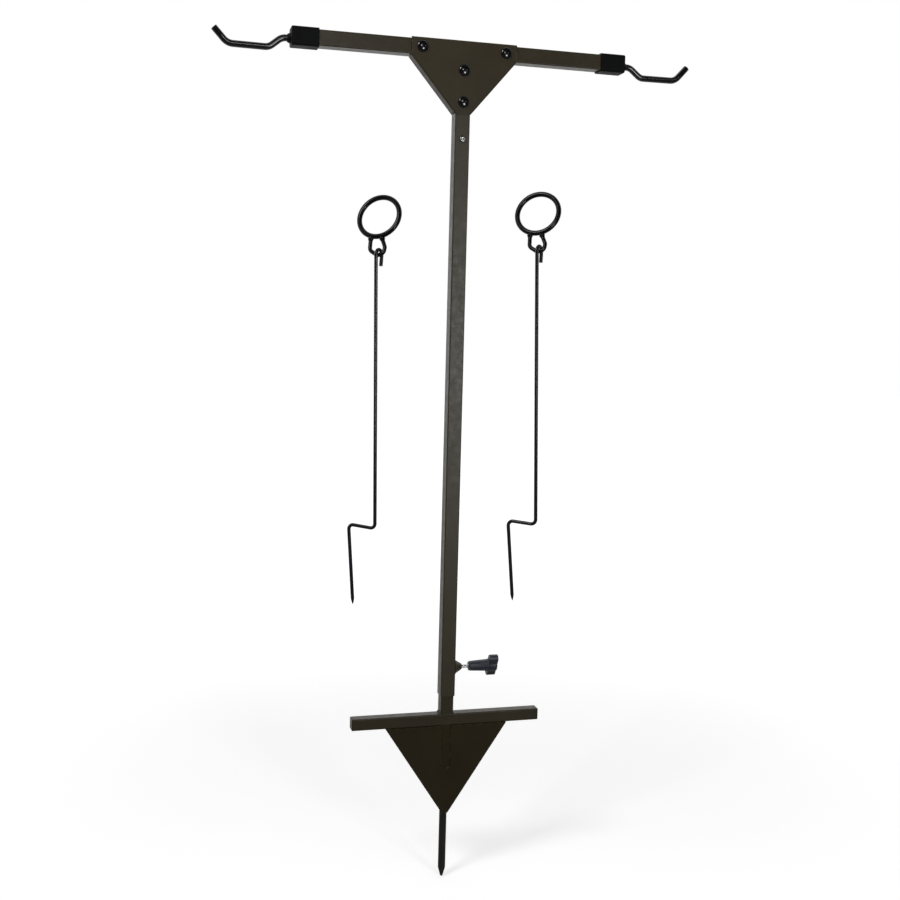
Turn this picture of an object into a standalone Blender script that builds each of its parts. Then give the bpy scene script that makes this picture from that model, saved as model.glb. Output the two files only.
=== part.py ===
"""T-shaped ground stand with two hooks, and the two ring stakes that belong to it.

Metres, +Z up along the post, the front faces -Y. Height zero is the underside of the step bar,
which rests on the ground; the spade plate and the spike below it go into the ground.
"""
import math

import bmesh
import bpy
from mathutils import Matrix, Vector

# Fits shared by all pieces.
SEAT_GAP = 0.0003
HOLE_CLEARANCE = 0.001
TUBE_WALL = 0.0012
TUBE_CORNER = 0.002
BROKEN_EDGE = 0.0004

# Step bar, spade plate and spike.
STEP_BAR_SIDE = 0.020
STEP_BAR_LENGTH = 0.3244
STEP_PLUG_HEAD = 0.0025
STEP_PLUG_EDGE = 0.0015
STEP_PLUG_STEM = 0.012
SPADE_THICKNESS = 0.004
SPADE_WIDTH = 0.214
SPADE_TIP_WIDTH = 0.010
SPADE_DEPTH = 0.156
SPADE_CHANNEL_WIDTH = 0.0177
SPADE_CHANNEL_LENGTH = 0.078
SPADE_CHANNEL_DEPTH = 0.0026
SPADE_CHANNEL_SLOPE = 0.0018
SPIKE_DIAMETER = 0.0127
SPIKE_DEPTH = 0.274
SPIKE_POINT = 0.0155
SPIKE_TIP_DIAMETER = 0.005

# Telescoping mast; the stop screw's drop is measured from the crossbar's axis.
POST_SIDE = 0.025
INNER_SIDE = 0.022
POST_FOOT_HEIGHT = 0.052
BAR_AXIS_HEIGHT = 1.125
BAR_LENGTH = 0.552
STOP_SCREW_DROP = 0.141
STOP_SCREW_SHANK = 0.005
STOP_SCREW_REACH = 0.008
STOP_SCREW_HEAD = 0.010
STOP_SCREW_HEAD_HEIGHT = 0.0032

# Folded gusset, the flat plate behind it and their four bolts; drops are measured from the
# crossbar's axis, the flange's depth from the front of the gusset's face.
GUSSET_SHEET = 0.002
GUSSET_FOLD_RADIUS = 0.003
GUSSET_WIDTH = 0.176
GUSSET_EDGE_HEIGHT = 0.028
GUSSET_FOOT_WIDTH = 0.026
GUSSET_DROP = 0.1015
GUSSET_FLANGE_DEPTH = 0.022
BACK_PLATE_INSET = 0.003
FLANGE_GAP_UNDER_BAR = 0.0015
BOLT_END_INSET = 0.018
UPPER_BOLT_DROP = 0.0325
LOWER_BOLT_DROP = 0.0825
BOLT_SHANK = 0.008
BOLT_HEAD = 0.0185
BOLT_HEAD_HEIGHT = 0.0046
BOLT_END_BEYOND_NUT = 0.002
WASHER_DIAMETER = 0.016
WASHER_THICKNESS = 0.0016
NUT_ACROSS_FLATS = 0.013
NUT_HEIGHT = 0.0065

# Crossbar ends.
CAP_LENGTH = 0.0435
CAP_WALL = 0.002
CAP_END_WALL = 0.003
CAP_EDGE = 0.0024
CAP_COLLAR_LENGTH = 0.005
CAP_COLLAR_WALL = 0.003
CAP_COLLAR_LIP = 0.001
HOOK_ROD = 0.0106
HOOK_GRIP = 0.0275
HOOK_EXIT_DROP = 0.0025
HOOK_CRADLE_DROP = 0.0184
HOOK_RAMP_START = 0.0168
HOOK_RAMP_LENGTH = 0.0200
HOOK_CRADLE_LENGTH = 0.0637
HOOK_CRADLE_RISE = 0.0006
HOOK_TIP_REACH = 0.0209
HOOK_TIP_RISE = 0.0233
HOOK_RAMP_RADIUS = 0.018
HOOK_TIP_RADIUS = 0.020

# Height clamp on the +X side of the post; its rise is measured from the post's foot.
CLAMP_RISE = 0.048
CLAMP_SCREW = 0.006
CLAMP_SCREW_TIP = 0.0036
CLAMP_BOSS_DIAMETER = 0.0245
CLAMP_BOSS_TIP = 0.0095
CLAMP_BOSS_LENGTH = 0.0132
CLAMP_BOSS_SKIRT = 0.0016
KNOB_STANDOFF = 0.0125
KNOB_GRIP = 0.020
KNOB_NECK = 0.0163
KNOB_HUB = 0.0208
KNOB_HUB_LENGTH = 0.035
KNOB_HEAD_THICKNESS = 0.0152
KNOB_MIDDLE = 0.022
KNOB_WING_SPAN = 0.045
KNOB_WING_WIDTH = 0.014
KNOB_EDGE = 0.0036
KNOB_TURN = 32.0

# Ring stakes: ring, link under it, and the rod whose eye hangs on the link.
RING_WIRE = 0.0089
RING_DIAMETER = 0.0716
RING_REACH = 0.0691
RING_OFFSET = -0.0123
RING_LEAN = -21.5
STAKE_TURN = -36.5
LINK_WIRE = 0.007
LINK_LEFT_TOP = -0.0240
LINK_LEFT_HIP = -0.0215
LINK_RIGHT_HIP = 0.0050
LINK_RIGHT_TOP = -0.0042
LINK_HIP_HEIGHT = 0.0150
LINK_BOTTOM_OFFSET = 0.0040
LINK_BOTTOM_DROP = 0.0059
LINK_BEND = 0.0095
ROD_WIRE = 0.0063
EYE_CLEARANCE = 0.0020
EYE_TWIST = 82.0
EYE_TAIL_LENGTH = 0.027
EYE_TAIL_LEAN = 8.0
ROD_LENGTH = 0.458
FOOT_OFFSET = 0.0495
FOOT_RISE = 0.004
FOOT_LEG = 0.140
FOOT_LEG_LEAN = 3.4
FOOT_BEND = 0.008
FOOT_POINT = 0.011
FOOT_TIP_DIAMETER = 0.0008
LEFT_STAKE = (-0.1258, 0.030, 0.7951)
RIGHT_STAKE = (0.1324, -0.030, 0.8080)
LEFT_STAKE_LEAN = 0.2
RIGHT_STAKE_LEAN = 1.2

# Places that follow from the sizes above.
STOP_SCREW_HEIGHT = BAR_AXIS_HEIGHT - STOP_SCREW_DROP
CLAMP_HEIGHT = POST_FOOT_HEIGHT + CLAMP_RISE
BAR_BOLT_REACH = GUSSET_WIDTH / 2 - BOLT_END_INSET

# Shares of a screw's own sizes: height of a dome's straight rim and chamfer at the shank's end.
DOME_RIM_SHARE = 0.17
SHANK_CHAMFER_SHARE = 0.1

# Number of straight steps in round shapes.
CORNER_STEPS = 4
EDGE_STEPS = 4
DOME_STEPS = 5
BEND_STEPS = 6
ROUND_STEPS = 24
RING_STEPS = 48
WIRE_STEPS = 12
OVERSHOOT = 0.010

# Finishes: colour, roughness and metallic.
OLIVE_COAT = ((0.036, 0.031, 0.021), 0.42, 0.25)
BLACK_RUBBER = ((0.009, 0.009, 0.010), 0.65, 0.0)
BLACK_GLOSS = ((0.012, 0.012, 0.014), 0.25, 0.0)
BLACK_OXIDE = ((0.020, 0.020, 0.022), 0.35, 0.6)
DARK_STEEL = ((0.045, 0.043, 0.046), 0.35, 0.85)
BRIGHT_ZINC = ((0.55, 0.54, 0.52), 0.30, 1.0)
KNOB_PLASTIC = ((0.030, 0.033, 0.038), 0.45, 0.0)


def clear_scene():
    for old in list(bpy.data.objects):
        bpy.data.objects.remove(old, do_unlink=True)


def new_collection(name, hidden=False):
    collection = bpy.data.collections.new(name)
    collection.hide_render = hidden
    bpy.context.scene.collection.children.link(collection)
    return collection


clear_scene()
STAND = new_collection("target_stand")
CUTTERS = new_collection("cutters", hidden=True)


def finish_material(name, finish):
    colour, roughness, metallic = finish
    material = bpy.data.materials.new(name + "_finish")
    material.use_nodes = True
    shader = material.node_tree.nodes["Principled BSDF"]
    shader.inputs["Base Color"].default_value = (*colour, 1.0)
    shader.inputs["Roughness"].default_value = roughness
    shader.inputs["Metallic"].default_value = metallic
    return material


def round_shading(mesh):
    for face in mesh.polygons:
        face.use_smooth = True
    mesh.set_sharp_from_angle(angle=math.radians(35))


def add_piece(name, mesh, finish, origin=(0.0, 0.0, 0.0)):
    """Makes a named piece; its mesh is given in the frame of the origin."""
    mesh.name = name
    mesh.materials.clear()
    mesh.materials.append(finish_material(name, finish))
    round_shading(mesh)
    piece = bpy.data.objects.new(name, mesh)
    piece.location = origin
    STAND.objects.link(piece)
    return piece


def add_cutter(name, mesh, origin=(0.0, 0.0, 0.0)):
    cutter = bpy.data.objects.new(name, mesh)
    cutter.location = origin
    cutter.display_type = "WIRE"
    cutter.hide_render = True
    CUTTERS.objects.link(cutter)
    return cutter


def combine(piece, tool, operation="DIFFERENCE"):
    modifier = piece.modifiers.new(operation.lower() + "_" + tool.name, "BOOLEAN")
    modifier.operation = operation
    modifier.solver = "EXACT"
    modifier.object = tool


def soften(piece, width, segments=2, angle=40.0):
    modifier = piece.modifiers.new("soften", "BEVEL")
    modifier.width = width
    modifier.segments = segments
    modifier.limit_method = "ANGLE"
    modifier.angle_limit = math.radians(angle)
    modifier.harden_normals = False


def mesh_of(bm):
    bmesh.ops.remove_doubles(bm, verts=bm.verts, dist=1e-6)
    bmesh.ops.recalc_face_normals(bm, faces=bm.faces)
    mesh = bpy.data.meshes.new("shape")
    bm.to_mesh(mesh)
    bm.free()
    return mesh


# Turns a flat outline in X and Y into one that stands in X and Z, thickness along Y.
UPRIGHT = Matrix.Rotation(math.radians(90), 4, "X")
# Turns a shape made along Z so that it runs along +X or along -X.
ALONG_X = Matrix.Rotation(math.radians(90), 4, "Y")
ALONG_MINUS_X = Matrix.Rotation(math.radians(-90), 4, "Y")


def rounded_square(side, radius):
    """Outline of a square with rounded corners, counter-clockwise."""
    points = []
    reach = side / 2 - radius
    for quarter, (sx, sy) in enumerate(((1, 1), (-1, 1), (-1, -1), (1, -1))):
        for step in range(CORNER_STEPS + 1):
            angle = math.radians(90) * (quarter + step / CORNER_STEPS)
            x, y = sx * reach + radius * math.cos(angle), sy * reach + radius * math.sin(angle)
            points.append((x, y))
    return points


def circle(diameter, centre=(0.0, 0.0), steps=ROUND_STEPS):
    radius = diameter / 2
    points = []
    for step in range(steps):
        angle = 2 * math.pi * step / steps
        points.append((centre[0] + radius * math.cos(angle), centre[1] + radius * math.sin(angle)))
    return points


def plate_from_outlines(outlines, thickness, matrix=Matrix()):
    """Flat plate round Z = 0; outlines inside another outline are holes."""
    curve = bpy.data.curves.new("outline", "CURVE")
    curve.dimensions = "2D"
    curve.fill_mode = "BOTH"
    curve.extrude = thickness / 2
    for outline in outlines:
        spline = curve.splines.new("POLY")
        spline.points.add(len(outline) - 1)
        for point, (x, y) in zip(spline.points, outline):
            point.co = (x, y, 0.0, 1.0)
        spline.use_cyclic_u = True
    drawing = bpy.data.objects.new("outline", curve)
    CUTTERS.objects.link(drawing)
    graph = bpy.context.evaluated_depsgraph_get()
    raw = bpy.data.meshes.new_from_object(drawing.evaluated_get(graph))
    bpy.data.objects.remove(drawing, do_unlink=True)
    bm = bmesh.new()
    bm.from_mesh(raw)
    bpy.data.meshes.remove(raw)
    bmesh.ops.transform(bm, matrix=matrix, verts=bm.verts)
    return mesh_of(bm)


def prism(bm, outline, low, high, matrix=Matrix()):
    """Adds a solid with this outline between two heights and gives back its new vertices."""
    bottom = [bm.verts.new((x, y, low)) for x, y in outline]
    face = bm.faces.new(bottom)
    raised = bmesh.ops.extrude_face_region(bm, geom=[face])
    top = [item for item in raised["geom"] if isinstance(item, bmesh.types.BMVert)]
    bmesh.ops.translate(bm, verts=top, vec=(0.0, 0.0, high - low))
    bmesh.ops.transform(bm, matrix=matrix, verts=bottom + top)
    return bottom + top


def prism_mesh(outline, low, high, matrix=Matrix()):
    bm = bmesh.new()
    prism(bm, outline, low, high, matrix)
    return mesh_of(bm)


def round_over(bm, edges, radius):
    bmesh.ops.bevel(
        bm,
        geom=edges,
        offset=radius,
        offset_type="OFFSET",
        segments=EDGE_STEPS,
        profile=0.5,
        affect="EDGES",
        material=-1,
    )


def rounded_end_mesh(outline, low, high, radius, matrix=Matrix()):
    """Solid with this outline whose rim at the upper end is rounded."""
    bm = bmesh.new()
    prism(bm, outline, low, high)
    rim = [edge for edge in bm.edges if all(abs(vert.co.z - high) < 1e-7 for vert in edge.verts)]
    round_over(bm, rim, radius)
    bmesh.ops.transform(bm, matrix=matrix, verts=bm.verts)
    return mesh_of(bm)


def revolve(bm, profile, matrix=Matrix(), steps=ROUND_STEPS, closed=False):
    """Turns a profile of (radius, height) round Z; a closed profile leaves a bore."""
    verts = [bm.verts.new((radius, 0.0, height)) for radius, height in profile]
    pairs = list(zip(verts, verts[1:]))
    if closed:
        pairs.append((verts[-1], verts[0]))
    edges = [bm.edges.new(pair) for pair in pairs]
    before = set(bm.verts) - set(verts)
    bmesh.ops.spin(
        bm,
        geom=verts + edges,
        cent=(0, 0, 0),
        axis=(0, 0, 1),
        angle=2 * math.pi,
        steps=steps,
        use_merge=True,
    )
    made = [vert for vert in bm.verts if vert not in before]
    on_axis = [vert for vert in made if math.hypot(vert.co.x, vert.co.y) < 1e-7]
    bmesh.ops.remove_doubles(bm, verts=on_axis, dist=1e-6)
    made = [vert for vert in bm.verts if vert not in before]
    bmesh.ops.transform(bm, matrix=matrix, verts=made)


def revolved_mesh(profile, matrix=Matrix(), steps=ROUND_STEPS, closed=False):
    bm = bmesh.new()
    revolve(bm, profile, matrix, steps, closed)
    return mesh_of(bm)


def rod_profile(radius, low, high):
    return [(0.0, high), (radius, high), (radius, low), (0.0, low)]


def round_cutter(name, diameter, low, high, matrix, centres=((0.0, 0.0),)):
    """Cutter of one or more parallel round bars that run between two heights before the turn."""
    bm = bmesh.new()
    for x, y in centres:
        shift = Matrix.Translation((x, y, 0.0))
        revolve(bm, rod_profile(diameter / 2, low, high), matrix @ shift)
    return add_cutter(name, mesh_of(bm))


def dome_head(head, height, rim):
    """Upper side of a domed screw head, from its crown to the edge of its underside."""
    points = []
    for step in range(DOME_STEPS + 1):
        angle = math.radians(90) * (1 - step / DOME_STEPS)
        points.append((head / 2 * math.cos(angle), rim + (height - rim) * math.sin(angle)))
    points[0] = (0.0, height)
    points.append((head / 2, 0.0))
    return points


def screw_profile(head, height, shank, length):
    chamfer = shank * SHANK_CHAMFER_SHARE
    return dome_head(head, height, height * DOME_RIM_SHARE) + [
        (shank / 2, 0.0),
        (shank / 2, -length + chamfer),
        (shank / 2 - chamfer, -length),
        (0.0, -length),
    ]


def rounded_path(corners):
    """Path through (point, bend radius) corners, each bend an arc tangent to both sides."""
    path = [Vector(corners[0][0])]
    for index in range(1, len(corners) - 1):
        corner, radius = Vector(corners[index][0]), corners[index][1]
        back = (Vector(corners[index - 1][0]) - corner).normalized()
        ahead = (Vector(corners[index + 1][0]) - corner).normalized()
        half = back.angle(ahead) / 2
        centre = corner + (back + ahead).normalized() * (radius / math.sin(half))
        start = corner + back * (radius / math.tan(half)) - centre
        end = corner + ahead * (radius / math.tan(half)) - centre
        sweep = start.angle(end)
        for step in range(BEND_STEPS + 1):
            share = step / BEND_STEPS
            arm = start * math.sin((1 - share) * sweep) + end * math.sin(share * sweep)
            path.append(centre + arm / math.sin(sweep))
    path.append(Vector(corners[-1][0]))
    return path


def wire_mesh(path, diameter, resolution=2, taper=None):
    """Round wire along a path with flat closed ends; the taper lists a factor for some path points."""
    curve = bpy.data.curves.new("wire", "CURVE")
    curve.dimensions = "3D"
    curve.bevel_depth = diameter / 2
    curve.bevel_resolution = resolution
    curve.use_fill_caps = True
    spline = curve.splines.new("POLY")
    spline.points.add(len(path) - 1)
    for index, (point, place) in enumerate(zip(spline.points, path)):
        point.co = (*place, 1.0)
        point.radius = (taper or {}).get(index, 1.0)
    drawing = bpy.data.objects.new("wire", curve)
    CUTTERS.objects.link(drawing)
    graph = bpy.context.evaluated_depsgraph_get()
    raw = bpy.data.meshes.new_from_object(drawing.evaluated_get(graph))
    bpy.data.objects.remove(drawing, do_unlink=True)
    bm = bmesh.new()
    bm.from_mesh(raw)
    bpy.data.meshes.remove(raw)
    return mesh_of(bm)


def tube_mesh(side, length, matrix=Matrix()):
    """Square tube round the origin, along Z before the turn."""
    outer = rounded_square(side, TUBE_CORNER)
    inner = rounded_square(side - 2 * TUBE_WALL, TUBE_CORNER - TUBE_WALL)
    return plate_from_outlines([outer, inner], length, matrix)


def build_step_bar():
    middle = (0.0, 0.0, STEP_BAR_SIDE / 2)
    add_piece("step_bar", tube_mesh(STEP_BAR_SIDE, STEP_BAR_LENGTH, ALONG_X), OLIVE_COAT, middle)
    stem_side = STEP_BAR_SIDE - 2 * TUBE_WALL - 2 * SEAT_GAP
    stem_outline = rounded_square(stem_side, TUBE_CORNER - TUBE_WALL)
    head_outline = rounded_square(STEP_BAR_SIDE, TUBE_CORNER)
    for name, turn, sign in (("left", ALONG_MINUS_X, -1), ("right", ALONG_X, 1)):
        place = (sign * (STEP_BAR_LENGTH / 2 + SEAT_GAP), 0.0, STEP_BAR_SIDE / 2)
        head = rounded_end_mesh(head_outline, 0.0, STEP_PLUG_HEAD, STEP_PLUG_EDGE, turn)
        plug = add_piece("step_plug_" + name, head, OLIVE_COAT, place)
        stem = prism_mesh(stem_outline, -STEP_PLUG_STEM, STEP_PLUG_HEAD / 2, turn)
        combine(plug, add_cutter("step_plug_stem_" + name, stem, place), "UNION")


def channel_outline(half):
    """Outline of the pressed channel: open above the plate's top edge, rounded at the bottom."""
    centre = -SPADE_CHANNEL_LENGTH + SPADE_CHANNEL_WIDTH / 2
    outline = [(half, OVERSHOOT)]
    for step in range(ROUND_STEPS // 2 + 1):
        angle = 2 * math.pi * step / ROUND_STEPS
        outline.append((half * math.cos(angle), centre - half * math.sin(angle)))
    outline.append((-half, OVERSHOOT))
    return outline


def build_spade():
    half, tip = SPADE_WIDTH / 2, SPADE_TIP_WIDTH / 2
    outline = [(-half, -SEAT_GAP), (-tip, -SPADE_DEPTH), (tip, -SPADE_DEPTH), (half, -SEAT_GAP)]
    back_face = -SPIKE_DIAMETER / 2 - SEAT_GAP
    middle = (0.0, back_face - SPADE_THICKNESS / 2, 0.0)
    plate = prism_mesh(outline, -SPADE_THICKNESS / 2, SPADE_THICKNESS / 2, UPRIGHT)
    spade = add_piece("spade_plate", plate, OLIVE_COAT, middle)
    soften(spade, BROKEN_EDGE, segments=1, angle=60.0)
    front = SPADE_THICKNESS / 2
    bm = bmesh.new()
    wall = SPADE_CHANNEL_WIDTH / 2
    verts = prism(bm, channel_outline(wall), front - SPADE_CHANNEL_DEPTH, front + OVERSHOOT)
    slope = SPADE_CHANNEL_SLOPE / SPADE_CHANNEL_DEPTH
    floor = channel_outline(wall - SPADE_CHANNEL_SLOPE)
    mouth = channel_outline(wall + slope * OVERSHOOT)
    for vert, (x, y) in zip(verts, floor + mouth):
        vert.co.x, vert.co.y = x, y
    bmesh.ops.transform(bm, matrix=UPRIGHT, verts=bm.verts)
    combine(spade, add_cutter("spade_channel", mesh_of(bm), middle))


def build_spike():
    """Round bar with a short cone that ends in a small ball."""
    radius, tip = SPIKE_DIAMETER / 2, SPIKE_TIP_DIAMETER / 2
    profile = [(0.0, -SEAT_GAP), (radius, -SEAT_GAP), (radius, -SPIKE_DEPTH + SPIKE_POINT)]
    for step in range(DOME_STEPS):
        angle = math.radians(90) * step / DOME_STEPS
        profile.append((tip * math.cos(angle), -SPIKE_DEPTH + tip * (1 - math.sin(angle))))
    profile.append((0.0, -SPIKE_DEPTH))
    add_piece("ground_spike", revolved_mesh(profile), DARK_STEEL)


def build_inner_tube():
    low = STEP_BAR_SIDE + SEAT_GAP
    high = STOP_SCREW_HEIGHT - STOP_SCREW_SHANK / 2 - SEAT_GAP
    add_piece("inner_tube", tube_mesh(INNER_SIDE, high - low), OLIVE_COAT, (0.0, 0.0, (low + high) / 2))


def build_post():
    high = BAR_AXIS_HEIGHT - POST_SIDE / 2 - SEAT_GAP
    middle = (0.0, 0.0, (POST_FOOT_HEIGHT + high) / 2)
    post = add_piece("post_tube", tube_mesh(POST_SIDE, high - POST_FOOT_HEIGHT), OLIVE_COAT, middle)
    bolt_heights = [(0.0, BAR_AXIS_HEIGHT - drop) for drop in (UPPER_BOLT_DROP, LOWER_BOLT_DROP)]
    reach = POST_SIDE / 2 + OVERSHOOT
    bolt_bore = BOLT_SHANK + HOLE_CLEARANCE
    combine(post, round_cutter("post_bolt_bores", bolt_bore, -reach, reach, UPRIGHT, bolt_heights))
    stop_bore = STOP_SCREW_SHANK + 2 * SEAT_GAP
    stop_heights = [(0.0, STOP_SCREW_HEIGHT)]
    combine(post, round_cutter("stop_screw_bore", stop_bore, 0.0, reach, UPRIGHT, stop_heights))
    clamp_turn = Matrix.Translation((0.0, 0.0, CLAMP_HEIGHT)) @ ALONG_X
    combine(post, round_cutter("clamp_bore", CLAMP_SCREW + 2 * SEAT_GAP, 0.0, reach, clamp_turn))


def build_crossbar():
    middle = (0.0, 0.0, BAR_AXIS_HEIGHT)
    bar = add_piece("crossbar", tube_mesh(POST_SIDE, BAR_LENGTH, ALONG_X), OLIVE_COAT, middle)
    reach = POST_SIDE / 2 + OVERSHOOT
    centres = [(sign * BAR_BOLT_REACH, BAR_AXIS_HEIGHT) for sign in (-1, 1)]
    combine(bar, round_cutter("bar_bolt_bores", BOLT_SHANK + HOLE_CLEARANCE, -reach, reach, UPRIGHT, centres))


def gusset_slope():
    """Run and fall of the slanted edge, from the end edge's lower corner to the foot."""
    run = (GUSSET_WIDTH - GUSSET_FOOT_WIDTH) / 2
    fall = GUSSET_DROP - GUSSET_EDGE_HEIGHT / 2
    return run, fall


def gusset_inner_half_width(height):
    """Half the space between the two flanges at a height below the crossbar's axis."""
    run, fall = gusset_slope()
    outer = GUSSET_WIDTH / 2 - (-GUSSET_EDGE_HEIGHT / 2 - height) * run / fall
    return outer - GUSSET_SHEET * math.hypot(run, fall) / fall


def gusset_outline(inset=0.0):
    """Outline of the gusset; the inset brings both sides in by the same length."""
    half, foot, edge = GUSSET_WIDTH / 2 - inset, GUSSET_FOOT_WIDTH / 2 - inset, GUSSET_EDGE_HEIGHT / 2
    left = [(-half, edge), (-half, -edge), (-foot, -GUSSET_DROP)]
    return left + [(-x, z) for x, z in reversed(left)]


def gusset_hollow_outline():
    """Space behind the face plate; it leaves only the flanges along the slanted edges."""
    run, fall = gusset_slope()
    top = -POST_SIDE / 2 - FLANGE_GAP_UNDER_BAR
    spare = gusset_inner_half_width(top) - POST_SIDE / 2 - SEAT_GAP
    bottom = top - spare * fall / run
    wide, high, low = GUSSET_WIDTH, GUSSET_EDGE_HEIGHT, -GUSSET_DROP - OVERSHOOT
    right = [(wide, low), (wide, bottom), (gusset_inner_half_width(bottom), bottom)]
    right += [(gusset_inner_half_width(top), top), (wide, top), (wide, high)]
    left = [(-x, z) for x, z in reversed(right)]
    return right + left


def fold_edges(bm, depth, radius):
    """Rounds the front edges along the slanted sides; the front lies at local height `depth`."""
    chosen = []
    for edge in bm.edges:
        first, second = edge.verts[0].co, edge.verts[1].co
        at_front = abs(first.z - depth) < 1e-7 and abs(second.z - depth) < 1e-7
        slanted = abs(first.x - second.x) > 0.01 and abs(first.y - second.y) > 0.01
        if at_front and slanted:
            chosen.append(edge)
    round_over(bm, chosen, radius)


def gusset_bores(name, turn):
    """Cutters for the four bolt holes through one sheet of the gusset."""
    low = POST_SIDE / 2 + SEAT_GAP - OVERSHOOT / 2
    high = POST_SIDE / 2 + SEAT_GAP + GUSSET_SHEET + OVERSHOOT
    bore = BOLT_SHANK + HOLE_CLEARANCE
    bores = round_cutter(name + "_bores", bore, low, high, turn, bolt_centres().values())
    bores.location = (0.0, 0.0, BAR_AXIS_HEIGHT)
    return bores


def build_gusset_front():
    """Face plate in front of post and bar with a folded flange along each slanted edge."""
    inside = POST_SIDE / 2 + SEAT_GAP
    face = inside + GUSSET_SHEET
    middle = (0.0, 0.0, BAR_AXIS_HEIGHT)
    block = bmesh.new()
    prism(block, gusset_outline(), face - GUSSET_FLANGE_DEPTH, face)
    fold_edges(block, face, GUSSET_FOLD_RADIUS)
    bmesh.ops.transform(block, matrix=UPRIGHT, verts=block.verts)
    shell = add_piece("gusset_front", mesh_of(block), OLIVE_COAT, middle)
    hollow = bmesh.new()
    prism(hollow, gusset_hollow_outline(), face - GUSSET_FLANGE_DEPTH - OVERSHOOT, inside)
    fold_edges(hollow, inside, GUSSET_FOLD_RADIUS - GUSSET_SHEET)
    bmesh.ops.transform(hollow, matrix=UPRIGHT, verts=hollow.verts)
    combine(shell, add_cutter("gusset_hollow", mesh_of(hollow), middle))
    combine(shell, gusset_bores("gusset_front", UPRIGHT))


def build_gusset_back():
    """Flat plate behind post and bar that takes the washers and nuts."""
    turn = UPRIGHT @ Matrix.Rotation(math.pi, 4, "Y")
    inside = POST_SIDE / 2 + SEAT_GAP
    sheet = prism_mesh(gusset_outline(BACK_PLATE_INSET), inside, inside + GUSSET_SHEET, turn)
    plate = add_piece("gusset_back", sheet, OLIVE_COAT, (0.0, 0.0, BAR_AXIS_HEIGHT))
    soften(plate, BROKEN_EDGE, segments=1, angle=60.0)
    combine(plate, gusset_bores("gusset_back", turn))


def bolt_centres():
    """Bolt places as name to (x, height from the crossbar's axis)."""
    return {
        "left": (-BAR_BOLT_REACH, 0.0),
        "right": (BAR_BOLT_REACH, 0.0),
        "upper": (0.0, -UPPER_BOLT_DROP),
        "lower": (0.0, -LOWER_BOLT_DROP),
    }


def build_gusset_fasteners():
    """Bolts from the front, each with a washer and a nut behind the back plate."""
    face = POST_SIDE / 2 + SEAT_GAP + GUSSET_SHEET
    head_seat = face + SEAT_GAP
    washer_low = face + SEAT_GAP
    nut_low = washer_low + WASHER_THICKNESS + SEAT_GAP
    bolt_end = nut_low + NUT_HEIGHT + BOLT_END_BEYOND_NUT
    bolt_profile = screw_profile(BOLT_HEAD, BOLT_HEAD_HEIGHT, BOLT_SHANK, head_seat + bolt_end)
    bore = circle(BOLT_SHANK + 2 * SEAT_GAP)
    washer = [circle(WASHER_DIAMETER), bore]
    nut = [circle(NUT_ACROSS_FLATS / math.cos(math.radians(30)), steps=6), bore]
    for name, (x, height) in bolt_centres().items():
        axis = Vector((x, 0.0, BAR_AXIS_HEIGHT + height))
        front = axis + Vector((0.0, -head_seat, 0.0))
        add_piece("gusset_bolt_" + name, revolved_mesh(bolt_profile, UPRIGHT), BLACK_GLOSS, front)
        washer_middle = axis + Vector((0.0, washer_low + WASHER_THICKNESS / 2, 0.0))
        washer_mesh = plate_from_outlines(washer, WASHER_THICKNESS, UPRIGHT)
        add_piece("gusset_washer_" + name, washer_mesh, BRIGHT_ZINC, washer_middle)
        nut_middle = axis + Vector((0.0, nut_low + NUT_HEIGHT / 2, 0.0))
        nut_mesh = plate_from_outlines(nut, NUT_HEIGHT, UPRIGHT)
        add_piece("gusset_nut_" + name, nut_mesh, BRIGHT_ZINC, nut_middle)


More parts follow.
